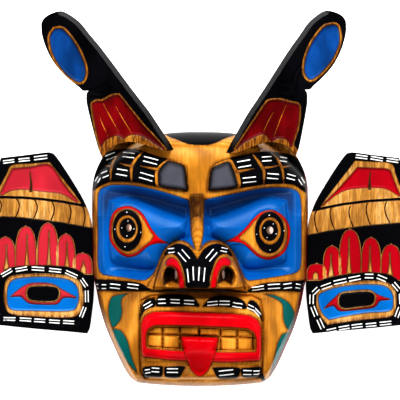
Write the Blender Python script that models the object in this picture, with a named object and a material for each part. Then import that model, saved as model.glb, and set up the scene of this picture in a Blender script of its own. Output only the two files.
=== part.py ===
"""A carved and painted sea-serpent mask of wood: a hollow face, two horns and two side wings.

Metres, +Z up. The mask lies on the flat back rim of its face and looks straight up, with its
horns towards +Y. The origin is under the middle of the whole mask, at the height of the rim.

Each piece is a plate with a carved front and a back. Its outline is a patch between four edge
curves, and its front and back are heights above the rim plane, worked out at every point of
the patch. The carving is drawn on a grid of steps, so it grows and shrinks with its piece.
"""

import bpy
import numpy as np

# The face: its outline and how far its parts stand above the back rim
FACE_WIDTH = 0.2156
FACE_HEIGHT = 0.2538
SIDE_HEIGHT = 0.045
CHEEK_HEIGHT = 0.062
FOREHEAD_HEIGHT = 0.097
NOSE_HEIGHT = 0.138
SOCKET_HEIGHT = 0.070
EYEBALL_RISE = 0.016
EYELID_RISE = 0.0016
BROW_RISE = 0.006
CHEEK_BAND_RISE = 0.005
MOUTH_RISE = 0.010
MOUTH_GROOVE_DEPTH = 0.003
LIP_RISE = 0.006
MOUTH_DEPTH = 0.010
TOOTH_RISE = 0.007
TONGUE_RISE = 0.007
TONGUE_TIP_FALL = 0.016
CHIN_STEP_DEPTH = 0.0025
NOSE_FOOT_RISE = 0.010
NOSE_WING_RISE = 0.022
NOSE_END_DROP = 0.060
NOSE_BLEND = 0.005
NOSTRIL_RIM_RISE = 0.006
NOSTRIL_DEPTH = 0.016
EDGE_RISE = 0.004

# The hollow behind the face
RIM_WALL = 0.012
CAVITY_DEPTH = 0.056

# The pierced holes that the wearer sees and breathes through
EYE_HOLE_DIAMETER = 0.0085
NOSTRIL_HOLE_WIDTH = 0.0066
NOSTRIL_HOLE_HEIGHT = 0.0125

# The side wings
WING_WIDTH = 0.117
WING_HEIGHT = 0.181
WING_THICKNESS = 0.016
WING_LIFT = 0.024
WING_CARVING_DEPTH = 0.0025
WING_CROWN = 0.002
WING_SEAT_BELOW_TOP = 0.130

# The horns
HORN_LENGTH = 0.164
RIGHT_HORN_LENGTH = 0.1593
RIGHT_HORN_DROP = 0.003
HORN_HEIGHT = 0.103
HORN_THICKNESS = 0.024
HORN_SIDE_WIDTH = 0.005
HORN_EDGE_THICKNESS = 0.004
HORN_CARVING_DEPTH = 0.003
HORN_SEAT_FROM_MIDDLE = 0.026
HORN_SEAT_BELOW_TOP = 0.018
RIGHT_HORN_TURN = 4.1

# Glued pieces stand this far apart
GLUE_GAP = 0.0003

# Triangles that each faceted piece is thinned to
FACE_TRIANGLES = 5500
WING_TRIANGLES = 1150
HORN_TRIANGLES = 700

# The drawing grids: steps across and up that each piece's carving is drawn on
FACE_STEPS = (215.6, 253.8)
FACE_TOP_STEP = 65.5
WING_STEPS = (117.0, 181.0)
HORN_STEPS = 164.0

PAINTS = {
    "face": (0.62, 0.36, 0.13),
    "horn_left": (0.03, 0.14, 0.62),
    "horn_right": (0.03, 0.14, 0.62),
    "wing_left": (0.02, 0.02, 0.025),
    "wing_right": (0.02, 0.02, 0.025),
}


def smooth_line(points, count):
    """A smooth curve through a few points, as evenly spaced points along it."""
    points = np.array(points, float)
    before = 2 * points[0] - points[1]
    after = 2 * points[-1] - points[-2]
    knots = np.vstack([before, points, after])
    t = np.linspace(0, 1, 12, endpoint=False)[:, None]
    runs = []
    for a, b, c, d in zip(knots, knots[1:], knots[2:], knots[3:]):
        runs.append(0.5 * (2 * b + (c - a) * t + (2 * a - 5 * b + 4 * c - d) * t**2
                           + (3 * b - a - 3 * c + d) * t**3))
    line = np.vstack(runs + [points[-1:]])
    along = np.concatenate([[0], np.cumsum(np.linalg.norm(np.diff(line, axis=0), axis=1))])
    even = np.linspace(0, along[-1], count)
    return np.stack([np.interp(even, along, line[:, k]) for k in (0, 1)], axis=1)


def ring(points, count=72):
    """A smooth closed outline through a few points."""
    return smooth_line(list(points) + [points[0]], count)[:-1]


def mirrored(points):
    """A closed outline from its right half, listed from the top of the middle line down."""
    return np.array(list(points) + [(-x, y) for x, y in reversed(points)], float)


def inside(outline, x, y):
    """How far a point lies in from an outline's edge: above zero inside, below zero outside."""
    a = np.asarray(outline, float)
    b = np.roll(a, -1, axis=0)
    px, py = np.ravel(x)[:, None], np.ravel(y)[:, None]
    edge = b - a
    length = np.maximum((edge**2).sum(axis=1), 1e-12)
    t = np.clip(((px - a[:, 0]) * edge[:, 0] + (py - a[:, 1]) * edge[:, 1]) / length, 0, 1)
    away = np.hypot(px - a[:, 0] - t * edge[:, 0], py - a[:, 1] - t * edge[:, 1]).min(axis=1)
    rise = np.where(edge[:, 1] == 0, 1e-12, edge[:, 1])
    crossing = ((a[:, 1] > py) != (b[:, 1] > py)) & (
        px < edge[:, 0] * (py - a[:, 1]) / rise + a[:, 0])
    side = np.where(crossing.sum(axis=1) % 2 == 1, 1.0, -1.0)
    return (away * side).reshape(np.shape(x))


def ease(t):
    """A soft step from 0 to 1."""
    t = np.clip(t, 0, 1)
    return t * t * (3 - 2 * t)


def dome(t):
    """A quarter-round rise from 0 to 1."""
    t = np.clip(t, 0, 1)
    return np.sqrt(1 - (1 - t) ** 2)


def along(y, stations):
    """A value that follows stations of (y, value), listed upwards."""
    ys, values = zip(*stations)
    return np.interp(y, ys, values)


def patch(left, right, bottom, top, shares_u, shares_v):
    """Points of a patch between four edge curves, by blending opposite edges."""
    u, v = np.meshgrid(shares_u, shares_v)

    def at(edge, share):
        where = np.linspace(0, 1, len(edge))
        return np.stack([np.interp(share, where, edge[:, k]) for k in (0, 1)], axis=-1)

    u3, v3 = u[..., None], v[..., None]
    corners = ((1 - u3) * (1 - v3) * bottom[0] + u3 * (1 - v3) * bottom[-1]
               + (1 - u3) * v3 * top[0] + u3 * v3 * top[-1])
    points = ((1 - v3) * at(bottom, u) + v3 * at(top, u)
              + (1 - u3) * at(left, v) + u3 * at(right, v) - corners)
    return points[..., 0], points[..., 1]


# The face's outline on its grid, from the middle line outwards
SIDE_STATIONS = smooth_line([
    (-188.3, 62.0), (-184.0, 67.0), (-179.0, 71.5), (-167.0, 78.0), (-151.0, 85.0),
    (-131.0, 93.5), (-110.0, 100.0), (-91.0, 103.8), (-78.5, 106.3), (-52.5, 107.2),
    (-20.0, 107.8), (6.0, 107.8), (17.5, 106.5), (28.5, 103.4), (42.0, 97.0), (52.5, 89.0),
    (59.0, 80.0), (63.0, 66.0), (65.5, 50.0),
], 160)
FACE_LOW = -188.3
CORNER_REACH = 12
CHIN_CORNER_RISE = 3.5
CROWN_CORNER_DROP = 5.0
CROWN_ROUNDING = 17.0
CHIN_ROUNDING = 14.0


def face_side(y):
    """Half the face's width at a height on its grid."""
    return along(y, SIDE_STATIONS)


def middle(y):
    """Where the carved middle line runs: it leans a little to the right towards the mouth."""
    return -1.8 + 3.0 * ease((-50 - y) / 50)


BROW = ring([
    (10.2, 6), (10.8, 18), (12.5, 30), (18, 34.5), (38, 39.5), (58, 46), (68, 48.2), (80, 47.5),
    (92, 44), (101, 36), (106, 22), (106, 8), (101, 9.5), (88, 15.5), (68, 15.5), (48, 12),
    (28, 7.5),
])
SOCKET = ring([
    (-12, 3.5), (5, 3.5), (11, -1), (28, 3.5), (48, 9), (68, 12.5), (88, 12.5), (95.5, 9.5),
    (99.5, 4), (100.3, -10), (100.5, -40), (100.5, -66), (98, -74), (90, -78), (73, -80),
    (54, -82.5), (44, -81), (34, -76), (-12, -64), (-12, -30),
], 110)
EYEBALL = ring([
    (87, -4), (78, -0.5), (67, 0), (57, -2.5), (46, -7), (36, -11), (26, -15), (16, -18),
    (8.5, -21), (8.5, -37), (17, -42), (27, -48), (34, -57), (39, -67), (47, -70), (60, -69),
    (74, -66.5), (86, -63), (88.5, -50), (88.5, -20),
])
EYELID = ring([
    (27, -45.5), (38, -40), (46, -30.5), (51, -21.5), (56, -14.5), (63, -10), (70, -8.5),
    (80, -11.5), (86, -20.5), (88, -32.5), (87, -43), (82, -51), (75, -57), (68, -59), (60, -56.5),
    (53, -50.5), (48, -47), (40, -44.2),
])
CHEEK_BAND = ring([
    (46, -91.5), (49, -88.5), (60, -84.5), (75, -82.5), (90, -82), (99, -82), (104, -84),
    (104, -92), (90, -92.5), (70, -92.5),
])
MUZZLE = mirrored([
    (0, -97), (30, -96.5), (50, -98), (59, -102), (60.8, -115), (60.8, -150), (60, -172),
    (56, -179), (30, -180.5), (0, -180.5),
])
LIPS = mirrored([
    (0, -113), (30, -113.2), (48, -114.5), (56, -119), (59.8, -127), (59.8, -150), (58, -159),
    (30, -161.5), (0, -161.8),
])
MOUTH = mirrored([
    (0, -126.5), (30, -126.8), (46, -127.5), (52, -131), (54.5, -137), (54.5, -148),
    (53, -150.5), (30, -151.5), (0, -151.8),
])
TOOTH_CUTS = [-38.0, -21.0, -2.0, 19.0, 35.5, 51.0]
TOOTH_LINE = -136.5
TONGUE_MIDDLE = -1.5
TONGUE = mirrored([
    (0, -137), (18.7, -137.5), (17.3, -147), (14.7, -155), (12, -162.5), (8.6, -170),
    (4, -175.3), (0, -176.5),
])
NOSE_WIDTHS = [
    (-90.0, 45.5), (-88.0, 45.3), (-74.0, 42.0), (-64.0, 38.0), (-55.0, 33.0), (-48.0, 27.0),
    (-44.0, 20.0), (-40.0, 11.5), (-27.0, 7.6), (-10.0, 8.0), (5.0, 9.5),
]
NOSE_RIDGE = [
    (-90.0, 0.97), (-84.0, 1.0), (-76.0, 1.0), (-68.0, 0.93), (-60.0, 0.75), (-52.0, 0.45),
    (-44.0, 0.15), (-30.0, -0.12), (-18.0, -0.20), (-6.0, -0.12), (2.0, 0.0),
]
NOSTRIL = (27.0, -77.5)
NOSTRIL_SIZE = (7.5, 9.5)
NOSTRIL_HOLE = (25.3, -75.5)
PUPIL = (70.0, -30.0)
RIGHT_EYE_DROP = 2.5
MOUTH_TILT = 0.035
CENTRE_SHARES = [
    (-188.3, 0.61), (-150.0, 1.0), (-100.0, 0.944), (-60.0, 0.917), (0.0, 1.0), (20.0, 1.0),
    (40.0, 0.917), (52.0, 0.778), (65.5, 0.556),
]
FACE_CROWN = 2.6
NOSE_CROWN = 2.3
TONGUE_BEND = -150.0
TONGUE_TIP = -176.5
TONGUE_CURL = 1.5


def eye_drop(off):
    """How far the eye on this side of the middle line is carved below the left one."""
    return RIGHT_EYE_DROP * (off > 0)


def tooth_share(x, y):
    """How far a point stands up on its tooth: 0 in the cuts between teeth, 1 on their fronts."""
    across = np.abs(np.array(TOOTH_CUTS)[:, None, None] - x).min(axis=0)
    return ease(np.minimum(across, np.abs(y - TOOTH_LINE)) / 1.6)


def face_height(x, y):
    """The carved front of the face at a point of its grid, in metres above the rim."""
    off = x - middle(y)
    a = np.abs(off)
    centre = CHEEK_HEIGHT + (FOREHEAD_HEIGHT - CHEEK_HEIGHT) * along(y, CENTRE_SHARES)
    share = np.clip(np.abs(x) / 104.0, 0, 1)
    z = CHEEK_HEIGHT + (centre - CHEEK_HEIGHT) * (1 - share**FACE_CROWN)

    z = z + BROW_RISE * ease(inside(BROW, a, y) / 2.5)
    z = z + CHEEK_BAND_RISE * dome(inside(CHEEK_BAND, a, y) / 5)

    muzzle = inside(MUZZLE, off, y)
    groove = ease(1 - np.abs(muzzle) / 2.2)
    z = z + MOUTH_RISE * ease(muzzle / 3) - MOUTH_GROOVE_DEPTH * groove
    level = y + MOUTH_TILT * off
    lips = inside(LIPS, off, level)
    opening = inside(MOUTH, off, level)
    z = z + LIP_RISE * dome(np.minimum(lips, 6) / 6) * (1 - ease(opening / 2))
    z = z - MOUTH_DEPTH * ease(opening / 2)
    z = z + TOOTH_RISE * ease(opening / 3) * tooth_share(off, level)
    tongue = inside(TONGUE, off - TONGUE_MIDDLE, level)
    bent = np.maximum(0, (TONGUE_BEND - y) / (TONGUE_BEND - TONGUE_TIP))
    tongue_top = centre + MOUTH_RISE + TONGUE_RISE - TONGUE_TIP_FALL * bent**TONGUE_CURL
    z = np.where(tongue > 0, z + (tongue_top - z) * dome(tongue / 5), z)
    step = ease((-162 - level) / 2) * ease((level + 168) / 3) * ease(muzzle / 3)
    z = z - CHIN_STEP_DEPTH * step * (tongue < 0)

    socket = inside(SOCKET, a, y)
    ball = EYEBALL_RISE * dome(inside(EYEBALL, a, y) / 26)
    lid = EYELID_RISE * ease(inside(EYELID, a, y + eye_drop(off)) / 1.5)
    floor = SOCKET_HEIGHT + ball + lid
    z = z + (floor - z) * ease(socket / 10)

    half = along(y, NOSE_WIDTHS)
    tall = along(y, NOSE_RIDGE)
    side = a / half
    ridge = centre + (NOSE_HEIGHT - centre) * tall
    widening = ease((-60 - y) / 25)
    edge = SOCKET_HEIGHT + NOSE_FOOT_RISE + (NOSE_WING_RISE - NOSE_FOOT_RISE) * widening
    nose = edge + (ridge - edge) * (1 - np.minimum(side, 1.6) ** NOSE_CROWN)
    hole = np.hypot((a - NOSTRIL[0]) / NOSTRIL_SIZE[0], (y - NOSTRIL[1]) / NOSTRIL_SIZE[1])
    nose = nose + NOSTRIL_RIM_RISE * np.exp(-((hole - 1.35) / 0.35) ** 2)
    nose = nose - NOSTRIL_DEPTH * ease((1.15 - hole) / 0.5)
    nose = nose - NOSE_END_DROP * (ease((-88.0 - y) / 4) + ease((y - 1) / 5))
    z = (z + nose + np.hypot(z - nose, NOSE_BLEND)) / 2

    edge_in = np.maximum(face_side(y) - np.abs(x), 0)
    z = np.minimum(z, SIDE_HEIGHT + (CHEEK_HEIGHT + EDGE_RISE - SIDE_HEIGHT) * (edge_in / 4.5))
    down = np.maximum(face_top(x) - y, 0)
    up = np.maximum(y - face_bottom(x), 0)
    rounded = dome((down + 0.3) / CROWN_ROUNDING) * dome((up + 0.2) / CHIN_ROUNDING)
    return SIDE_HEIGHT + (z - SIDE_HEIGHT) * rounded


def face_top(x):
    """How high the face's outline reaches at a distance from the middle line of its grid."""
    crown = FACE_TOP_STEP - CROWN_CORNER_DROP * (np.abs(x) / 50) ** 3
    shoulder = SIDE_STATIONS[np.argmax(SIDE_STATIONS[:, 1]):][::-1]
    return np.minimum(crown, np.interp(np.abs(x), shoulder[:, 1], shoulder[:, 0]))


def face_bottom(x):
    """The bottom edge of the face's outline on its grid."""
    return FACE_LOW + CHIN_CORNER_RISE * np.clip(np.abs(x) / 62, 0, 1.2) ** 2


def face_patch(shares_u, shares_v):
    """Points of the face's outline patch on its grid."""
    u, v = np.meshgrid(shares_u, shares_v)
    level = FACE_LOW + (FACE_TOP_STEP - FACE_LOW) * v
    drop = FACE_TOP_STEP - face_top(u * face_side(FACE_TOP_STEP))
    rise = face_bottom(u * face_side(FACE_LOW)) - FACE_LOW
    return u * face_side(level), level - drop * v**CORNER_REACH + rise * (1 - v) ** CORNER_REACH


def face_scale():
    """Metres in one step of the face's grid, across and up."""
    return FACE_WIDTH / FACE_STEPS[0], FACE_HEIGHT / FACE_STEPS[1]


def spread(count, crowding=0.07):
    """Shares from 0 to 1 that crowd together towards both ends."""
    t = np.linspace(0, 1, count)
    return t - crowding * np.sin(2 * np.pi * t)


def solid(name, front, back, triangles):
    """A closed piece between a front and a back grid of points, thinned to some triangles."""
    rows, columns = front.shape[:2]
    index = np.arange(rows * columns).reshape(rows, columns)
    corners = [index[:-1, :-1], index[:-1, 1:], index[1:, 1:], index[1:, :-1]]
    top = np.stack(corners, axis=-1).reshape(-1, 4)
    under = top[:, ::-1] + rows * columns
    loop = np.concatenate([index[0, :-1], index[:-1, -1], index[-1, :0:-1], index[:0:-1, 0]])
    after = np.roll(loop, -1)
    low = rows * columns
    wall = np.stack([loop + low, after + low, after, loop], axis=1)
    mesh = bpy.data.meshes.new(name)
    points = np.concatenate([front.reshape(-1, 3), back.reshape(-1, 3)])
    mesh.from_pydata(points.tolist(), [], np.concatenate([top, under, wall]).tolist())
    mesh.update()
    dense = bpy.data.objects.new(name + "_dense", mesh)
    bpy.context.scene.collection.objects.link(dense)
    thin = dense.modifiers.new("thin", "DECIMATE")
    thin.ratio = triangles / (2 * len(mesh.polygons))
    thin.use_collapse_triangulate = True
    bpy.context.view_layer.update()
    seen = dense.evaluated_get(bpy.context.evaluated_depsgraph_get())
    thinned = bpy.data.meshes.new_from_object(seen)
    bpy.data.objects.remove(dense)
    thinned.name = name
    piece = bpy.data.objects.new(name, thinned)
    bpy.context.scene.collection.objects.link(piece)
    return piece


def paint(piece):
    """Gives a piece its own wood and paint material."""
    material = bpy.data.materials.new(piece.name + "_finish")
    material.use_nodes = True
    shader = material.node_tree.nodes["Principled BSDF"]
    shader.inputs["Base Color"].default_value = (*PAINTS[piece.name], 1)
    shader.inputs["Roughness"].default_value = 0.4
    piece.data.materials.clear()
    piece.data.materials.append(material)


def level_rim(piece, lift=0.0004):
    """Puts every point that thinning left near the rim plane exactly on it."""
    points = np.empty(len(piece.data.vertices) * 3)
    piece.data.vertices.foreach_get("co", points)
    points = points.reshape(-1, 3)
    points[points[:, 2] < lift, 2] = 0
    piece.data.vertices.foreach_set("co", points.ravel())
    piece.data.update()


def pierce(piece, name, x, y, width, height):
    """Cuts a round or oval hole straight through a piece, along Z."""
    bpy.ops.mesh.primitive_cylinder_add(vertices=16, radius=0.5, depth=4 * FOREHEAD_HEIGHT)
    cutter = bpy.context.object
    cutter.name = name
    for corner in cutter.data.vertices:
        corner.co.x = x + corner.co.x * width
        corner.co.y = y + corner.co.y * height
    cutter.hide_render = True
    cutter.display_type = "WIRE"
    cut = piece.modifiers.new(name, "BOOLEAN")
    cut.operation = "DIFFERENCE"
    cut.solver = "EXACT"
    cut.object = cutter


def make_face():
    """The hollow face, with its carved front, flat rim and pierced eyes and nostrils."""
    across, up = face_scale()
    count_u, count_v = 221, 261
    x, y = face_patch(2 * spread(count_u) - 1, spread(count_v))
    front = np.stack([x * across, y * up, face_height(x, y)], axis=-1)

    wall_u = RIM_WALL / (FACE_WIDTH / 2)
    wall_v = RIM_WALL / FACE_HEIGHT
    inner_u = np.linspace(-1 + wall_u, 1 - wall_u, count_u - 2)
    inner_v = np.linspace(wall_v, 1 - wall_v, count_v - 2)
    xb, yb = face_patch(np.concatenate([[-1], inner_u, [1]]), np.concatenate([[0], inner_v, [1]]))
    hollow_u = dome((1 - np.abs(inner_u) / inner_u[-1]) / 0.5)
    hollow_v = dome((0.5 - np.abs(inner_v - 0.5) / (1 - 2 * wall_v)) / 0.2)
    zb = np.zeros(xb.shape)
    zb[1:-1, 1:-1] = CAVITY_DEPTH * np.outer(hollow_v, hollow_u)
    back = np.stack([xb * across, yb * up, zb], axis=-1)

    face = solid("face", front, back, FACE_TRIANGLES)
    level_rim(face)
    for side, word in ((-1, "left"), (1, "right")):
        eye_x = (middle(PUPIL[1]) + side * PUPIL[0]) * across
        eye_y = (PUPIL[1] - eye_drop(side)) * up
        pierce(face, "eye_hole_" + word, eye_x, eye_y, EYE_HOLE_DIAMETER, EYE_HOLE_DIAMETER)
        nostril_x = (middle(NOSTRIL_HOLE[1]) + side * NOSTRIL_HOLE[0]) * across
        pierce(face, "nostril_hole_" + word, nostril_x, NOSTRIL_HOLE[1] * up,
               NOSTRIL_HOLE_WIDTH, NOSTRIL_HOLE_HEIGHT)
    return face


# The wing's outline on its grid: outwards from the edge at the head, and up from its seat
WING_INNER = [
    (7, -71.5), (4.5, -66), (2.5, -52), (0.8, -36), (0, -14), (0, 6), (1, 22), (3, 39),
    (6, 50), (11, 62), (19, 76), (29, 92), (38, 105), (41.5, 108.8),
]
WING_TOP = [(92, 104), (71, 106.5), (51, 109), (44, 109.7), (41.5, 108.8)]
WING_OUTER = [(111, -62), (116.5, -30), (117, 0), (115, 30), (107, 62), (99, 86), (92, 104)]
WING_BOTTOM = [(111, -62), (91, -63.5), (61, -66.5), (21, -70), (7, -71.5)]
WING_TUCK = 1.2
TRAPEZE = [(81, 93.5), (43, 97), (14, 59), (31, 68), (51, 70.5), (71, 72.5), (91, 67.5)]
WING_OVOID = ring([
    (89, -52), (91, -40), (91, -22), (86, -12.5), (74, -9.5), (45, -9.5), (22, -11.5), (13, -19),
    (9, -32), (9, -44), (13, -52), (30, -55.5), (60, -56.5), (80, -55.5),
])
WING_EYE = ring([
    (83, -35), (69, -24), (61, -21.5), (46, -21.5), (38, -23), (31, -28), (16, -36), (31, -38),
    (39, -42.5), (63, -41.5), (69, -38),
])
FINGERS = [
    (11.5, 4, 12, -22), (27.5, 25.5, 17, -4), (45, 37, 19, -4), (67, 35, 19, -4), (87, 22, 17, -4),
]


def wing_relief(p, q, drop):
    """The depth of a wing's carving at a point of its grid, from 0 on the face down to 1."""
    cut = 0.9 * ease(inside(TRAPEZE, p, q) / 2)
    ovoid = inside(WING_OVOID, p, q + drop)
    cut = np.maximum(cut, ease(ovoid / 2.5) - 0.9 * dome(inside(WING_EYE, p, q + drop) / 7))
    for centre, peak, width, foot in FINGERS:
        tall = peak + drop * -1.0 - foot
        share = np.clip((q + drop - foot) / tall, 0, 1)
        bow = np.abs(p - centre) - 0.5 * width * np.sqrt(np.clip(1 - share**3, 0, 1))
        on = ease(-bow / 2) * (q + drop > foot) * (q + drop < peak)
        core = ease((4.5 - np.abs(p - centre - 2)) / 2) * ease((peak - 9 - q - drop) / 5)
        cut = np.where(on > 0, np.maximum(cut, on * (0.35 + 0.65 * core)), cut)
    return cut


def make_wing(name, side, drop):
    """A carved side wing, butted against the straight side wall of the face."""
    across, up = WING_WIDTH / WING_STEPS[0], WING_HEIGHT / WING_STEPS[1]
    face_across, face_up = face_scale()
    seat = FACE_TOP_STEP * face_up - WING_SEAT_BELOW_TOP
    inner = smooth_line(WING_INNER, 90)
    edge_y = seat + inner[:, 1] * up
    wall = face_side(edge_y / face_up) * face_across
    nearest = face_side(seat / face_up) * face_across + GLUE_GAP
    clear = np.maximum(nearest + (inner[:, 0] - WING_TUCK) * across, wall + GLUE_GAP)
    inner[:, 0] = (clear - nearest) / across
    outer = smooth_line(WING_OUTER, 90)
    bottom, top = smooth_line(WING_BOTTOM, 60), smooth_line(WING_TOP, 60)
    top[-1], bottom[-1] = inner[-1], inner[0]
    p, q = patch(outer, inner, bottom, top, spread(91), spread(121))
    x = side * (nearest + p * across)
    y = seat + q * up
    crown = WING_CROWN * np.sin(np.pi * np.clip(p / WING_STEPS[0], 0, 1))
    high = WING_LIFT + WING_THICKNESS + crown - WING_CARVING_DEPTH * wing_relief(p, q, drop)
    front = np.stack([x, y, high], axis=-1)
    back = np.stack([x, y, np.full(x.shape, WING_LIFT)], axis=-1)
    if side > 0:
        front, back = front[:, ::-1], back[:, ::-1]
    return solid(name, front, back, WING_TRIANGLES)


# The horn's outline on its grid, from the corner of its foot nearest the middle
HORN_OUTER = [
    (70.5, -8), (74, 0), (77, 10), (81, 25), (84, 37), (86, 47), (86, 55), (84, 58.3),
    (90, 58.5), (94, 62), (104, 70), (114, 80), (121, 90), (126, 100), (130, 112), (131, 120),
    (131, 125),
]
HORN_INNER = [
    (0, 0), (6, 10), (14, 22), (24, 37), (34, 50), (44, 63), (54, 76.5), (64, 90), (74, 103),
    (84, 115), (92, 125), (99, 131), (107, 136), (112, 137.5),
]
HORN_FOOT = [
    (70.5, -8), (62, 1.5), (54, 5.5), (44, 7.5), (34, 6), (24, 3), (14, 0), (7, -1.5), (0, 0),
]
HORN_TIP = [(131, 125), (128, 130), (122, 134), (112, 137.5)]
HORN_SLOPE = 0.12
HORN_OVAL = ring([
    (118, 119), (110, 119), (100, 108), (91, 93), (87, 80), (88, 70), (93, 66), (101, 70),
    (112, 82), (120, 97), (122, 112),
])
HORN_PANEL = ring([
    (80, 46), (76, 48), (67, 50), (61, 53), (54, 53), (36, 31), (9, 0), (24, 9), (38, 15),
    (49, 10), (56, 14), (68, 9), (72, 2), (77, 20), (81, 43),
])


def fit_over(piece, carrier):
    """Cuts a piece's underside to the surface that it laps over, with the glue's gap between."""
    cutter = bpy.data.objects.new(piece.name + "_seat", carrier.data.copy())
    bpy.context.scene.collection.objects.link(cutter)
    for corner in cutter.data.vertices:
        corner.co.z += GLUE_GAP
    cutter.hide_render = True
    cutter.display_type = "WIRE"
    cut = piece.modifiers.new("seat", "BOOLEAN")
    cut.operation = "DIFFERENCE"
    cut.solver = "EXACT"
    cut.object = cutter


def make_horn(name, side, length, turn, drop, face):
    """A carved horn whose foot laps over the top of the face and is cut to its surface."""
    scale = length / HORN_STEPS
    foot_y = FACE_TOP_STEP * face_scale()[1] - HORN_SEAT_BELOW_TOP - drop
    outer, inner = smooth_line(HORN_OUTER, 110), smooth_line(HORN_INNER, 110)
    foot, tip = smooth_line(HORN_FOOT, 60), smooth_line(HORN_TIP, 60)
    p, q = patch(outer, inner, foot, tip, spread(71), np.linspace(0, 1, 121))
    angle = np.radians(turn)
    x = side * (HORN_SEAT_FROM_MIDDLE + scale * (p * np.cos(angle) - q * np.sin(angle)))
    y = foot_y + scale * (q * np.cos(angle) + p * np.sin(angle))
    high = HORN_HEIGHT - HORN_SLOPE * p * scale
    edge = 1 - line_distance(p, q, inner) * scale / HORN_SIDE_WIDTH
    carved = ease(inside(HORN_OVAL, p, q) / 4) + 0.6 * ease(inside(HORN_PANEL, p, q) / 2)
    under = high - HORN_THICKNESS
    chamfer = (HORN_THICKNESS - HORN_EDGE_THICKNESS) * np.clip(edge, 0, 1)
    top = high - HORN_CARVING_DEPTH * carved - chamfer
    front = np.stack([x, y, top], axis=-1)
    back = np.stack([x, y, under], axis=-1)
    if side > 0:
        front, back = front[:, ::-1], back[:, ::-1]
    horn = solid(name, front, back, HORN_TRIANGLES)
    fit_over(horn, face)
    return horn


def line_distance(p, q, line):
    """The distance from each point to an open line."""
    far = np.full(p.shape, np.inf)
    for a, b in zip(line[:-1:3], line[3::3]):
        edge = b - a
        t = np.clip(((p - a[0]) * edge[0] + (q - a[1]) * edge[1]) / (edge @ edge), 0, 1)
        far = np.minimum(far, np.hypot(p - a[0] - t * edge[0], q - a[1] - t * edge[1]))
    return far


def centre(pieces):
    """Moves all pieces together so that the origin is under the middle of the mask."""
    bpy.context.view_layer.update()
    corners = np.array([piece.matrix_world @ v.co for piece in pieces for v in piece.data.vertices])
    shift = -(corners.min(axis=0) + corners.max(axis=0)) / 2
    for item in bpy.context.scene.objects:
        for point in item.data.vertices:
            point.co.x += shift[0]
            point.co.y += shift[1]


def main():
    """Builds the five pieces."""
    for item in list(bpy.data.objects):
        bpy.data.objects.remove(item)
    face = make_face()
    pieces = [
        face,
        make_wing("wing_left", -1, 0.0),
        make_wing("wing_right", 1, 7.0),
        make_horn("horn_left", -1, HORN_LENGTH, 0.0, 0.0, face),
        make_horn("horn_right", 1, RIGHT_HORN_LENGTH, RIGHT_HORN_TURN, RIGHT_HORN_DROP, face),
    ]
    for piece in pieces:
        paint(piece)
    centre(pieces)


main()
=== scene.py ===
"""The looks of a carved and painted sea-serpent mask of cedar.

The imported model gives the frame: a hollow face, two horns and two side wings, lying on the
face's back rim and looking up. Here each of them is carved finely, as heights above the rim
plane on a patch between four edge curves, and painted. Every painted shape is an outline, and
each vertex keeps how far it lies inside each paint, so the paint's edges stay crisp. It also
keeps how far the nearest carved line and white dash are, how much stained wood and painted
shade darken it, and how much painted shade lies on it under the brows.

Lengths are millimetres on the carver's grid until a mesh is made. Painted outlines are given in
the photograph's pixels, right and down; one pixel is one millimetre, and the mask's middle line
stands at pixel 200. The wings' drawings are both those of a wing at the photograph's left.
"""

import logging
import math
from dataclasses import dataclass, field, replace
from enum import Enum

import bpy
import numpy as np
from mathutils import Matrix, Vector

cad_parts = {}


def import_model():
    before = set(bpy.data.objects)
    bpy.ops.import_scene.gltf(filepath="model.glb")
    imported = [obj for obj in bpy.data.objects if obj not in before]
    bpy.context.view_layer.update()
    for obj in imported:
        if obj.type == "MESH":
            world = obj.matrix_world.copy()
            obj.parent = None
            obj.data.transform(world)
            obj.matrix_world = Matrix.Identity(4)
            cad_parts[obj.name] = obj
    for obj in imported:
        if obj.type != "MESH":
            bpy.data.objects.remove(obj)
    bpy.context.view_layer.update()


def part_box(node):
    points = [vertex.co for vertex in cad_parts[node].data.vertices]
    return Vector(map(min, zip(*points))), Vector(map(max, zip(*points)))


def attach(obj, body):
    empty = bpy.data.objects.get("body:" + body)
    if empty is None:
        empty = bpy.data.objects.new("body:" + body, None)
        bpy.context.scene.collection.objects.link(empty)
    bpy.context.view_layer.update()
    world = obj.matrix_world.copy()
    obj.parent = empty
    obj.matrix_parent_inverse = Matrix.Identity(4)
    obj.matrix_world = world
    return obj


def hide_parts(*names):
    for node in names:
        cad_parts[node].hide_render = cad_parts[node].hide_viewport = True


Points = list[tuple[float, float]]

LOG = logging.getLogger("mask")
MM = 0.001
FAR = 9.0
CREASE_ANGLE = 48.0
KNIFE_WIDTH = 0.9
PHOTO_MIDDLE = 200.0
PHOTO_LEVEL = 197.5


def smooth_line(points: Points, count: int) -> np.ndarray:
    """Gives evenly spaced points along a smooth curve through a few points.

    Each run between two points is the cubic that leaves and arrives in the direction of the
    points beside it; the runs are then measured and cut into equal steps.

    Args:
        points: The points that the curve passes through, in order.
        count: How many points to give.

    Returns:
        An array of count points.
    """
    knots = np.array(points, float)
    knots = np.vstack([2 * knots[0] - knots[1], knots, 2 * knots[-1] - knots[-2]])
    t = np.linspace(0, 1, 12, endpoint=False)[:, None]
    runs = [
        0.5 * (2 * b + (c - a) * t + (2 * a - 5 * b + 4 * c - d) * t**2
               + (3 * b - a - 3 * c + d) * t**3)
        for a, b, c, d in zip(knots, knots[1:], knots[2:], knots[3:])
    ]
    line = np.vstack(runs + [knots[-2:-1]])
    walked = np.concatenate([[0], np.cumsum(np.linalg.norm(np.diff(line, axis=0), axis=1))])
    even = np.linspace(0, walked[-1], count)
    return np.stack([np.interp(even, walked, line[:, k]) for k in (0, 1)], axis=1)


def ring(points: Points, count: int = 72) -> np.ndarray:
    """Gives a smooth closed outline through a few points.

    Args:
        points: The points that the outline passes through, in order.
        count: How many points the outline has.

    Returns:
        An array of count points.
    """
    return smooth_line(list(points) + [points[0]], count + 1)[:-1]


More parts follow.
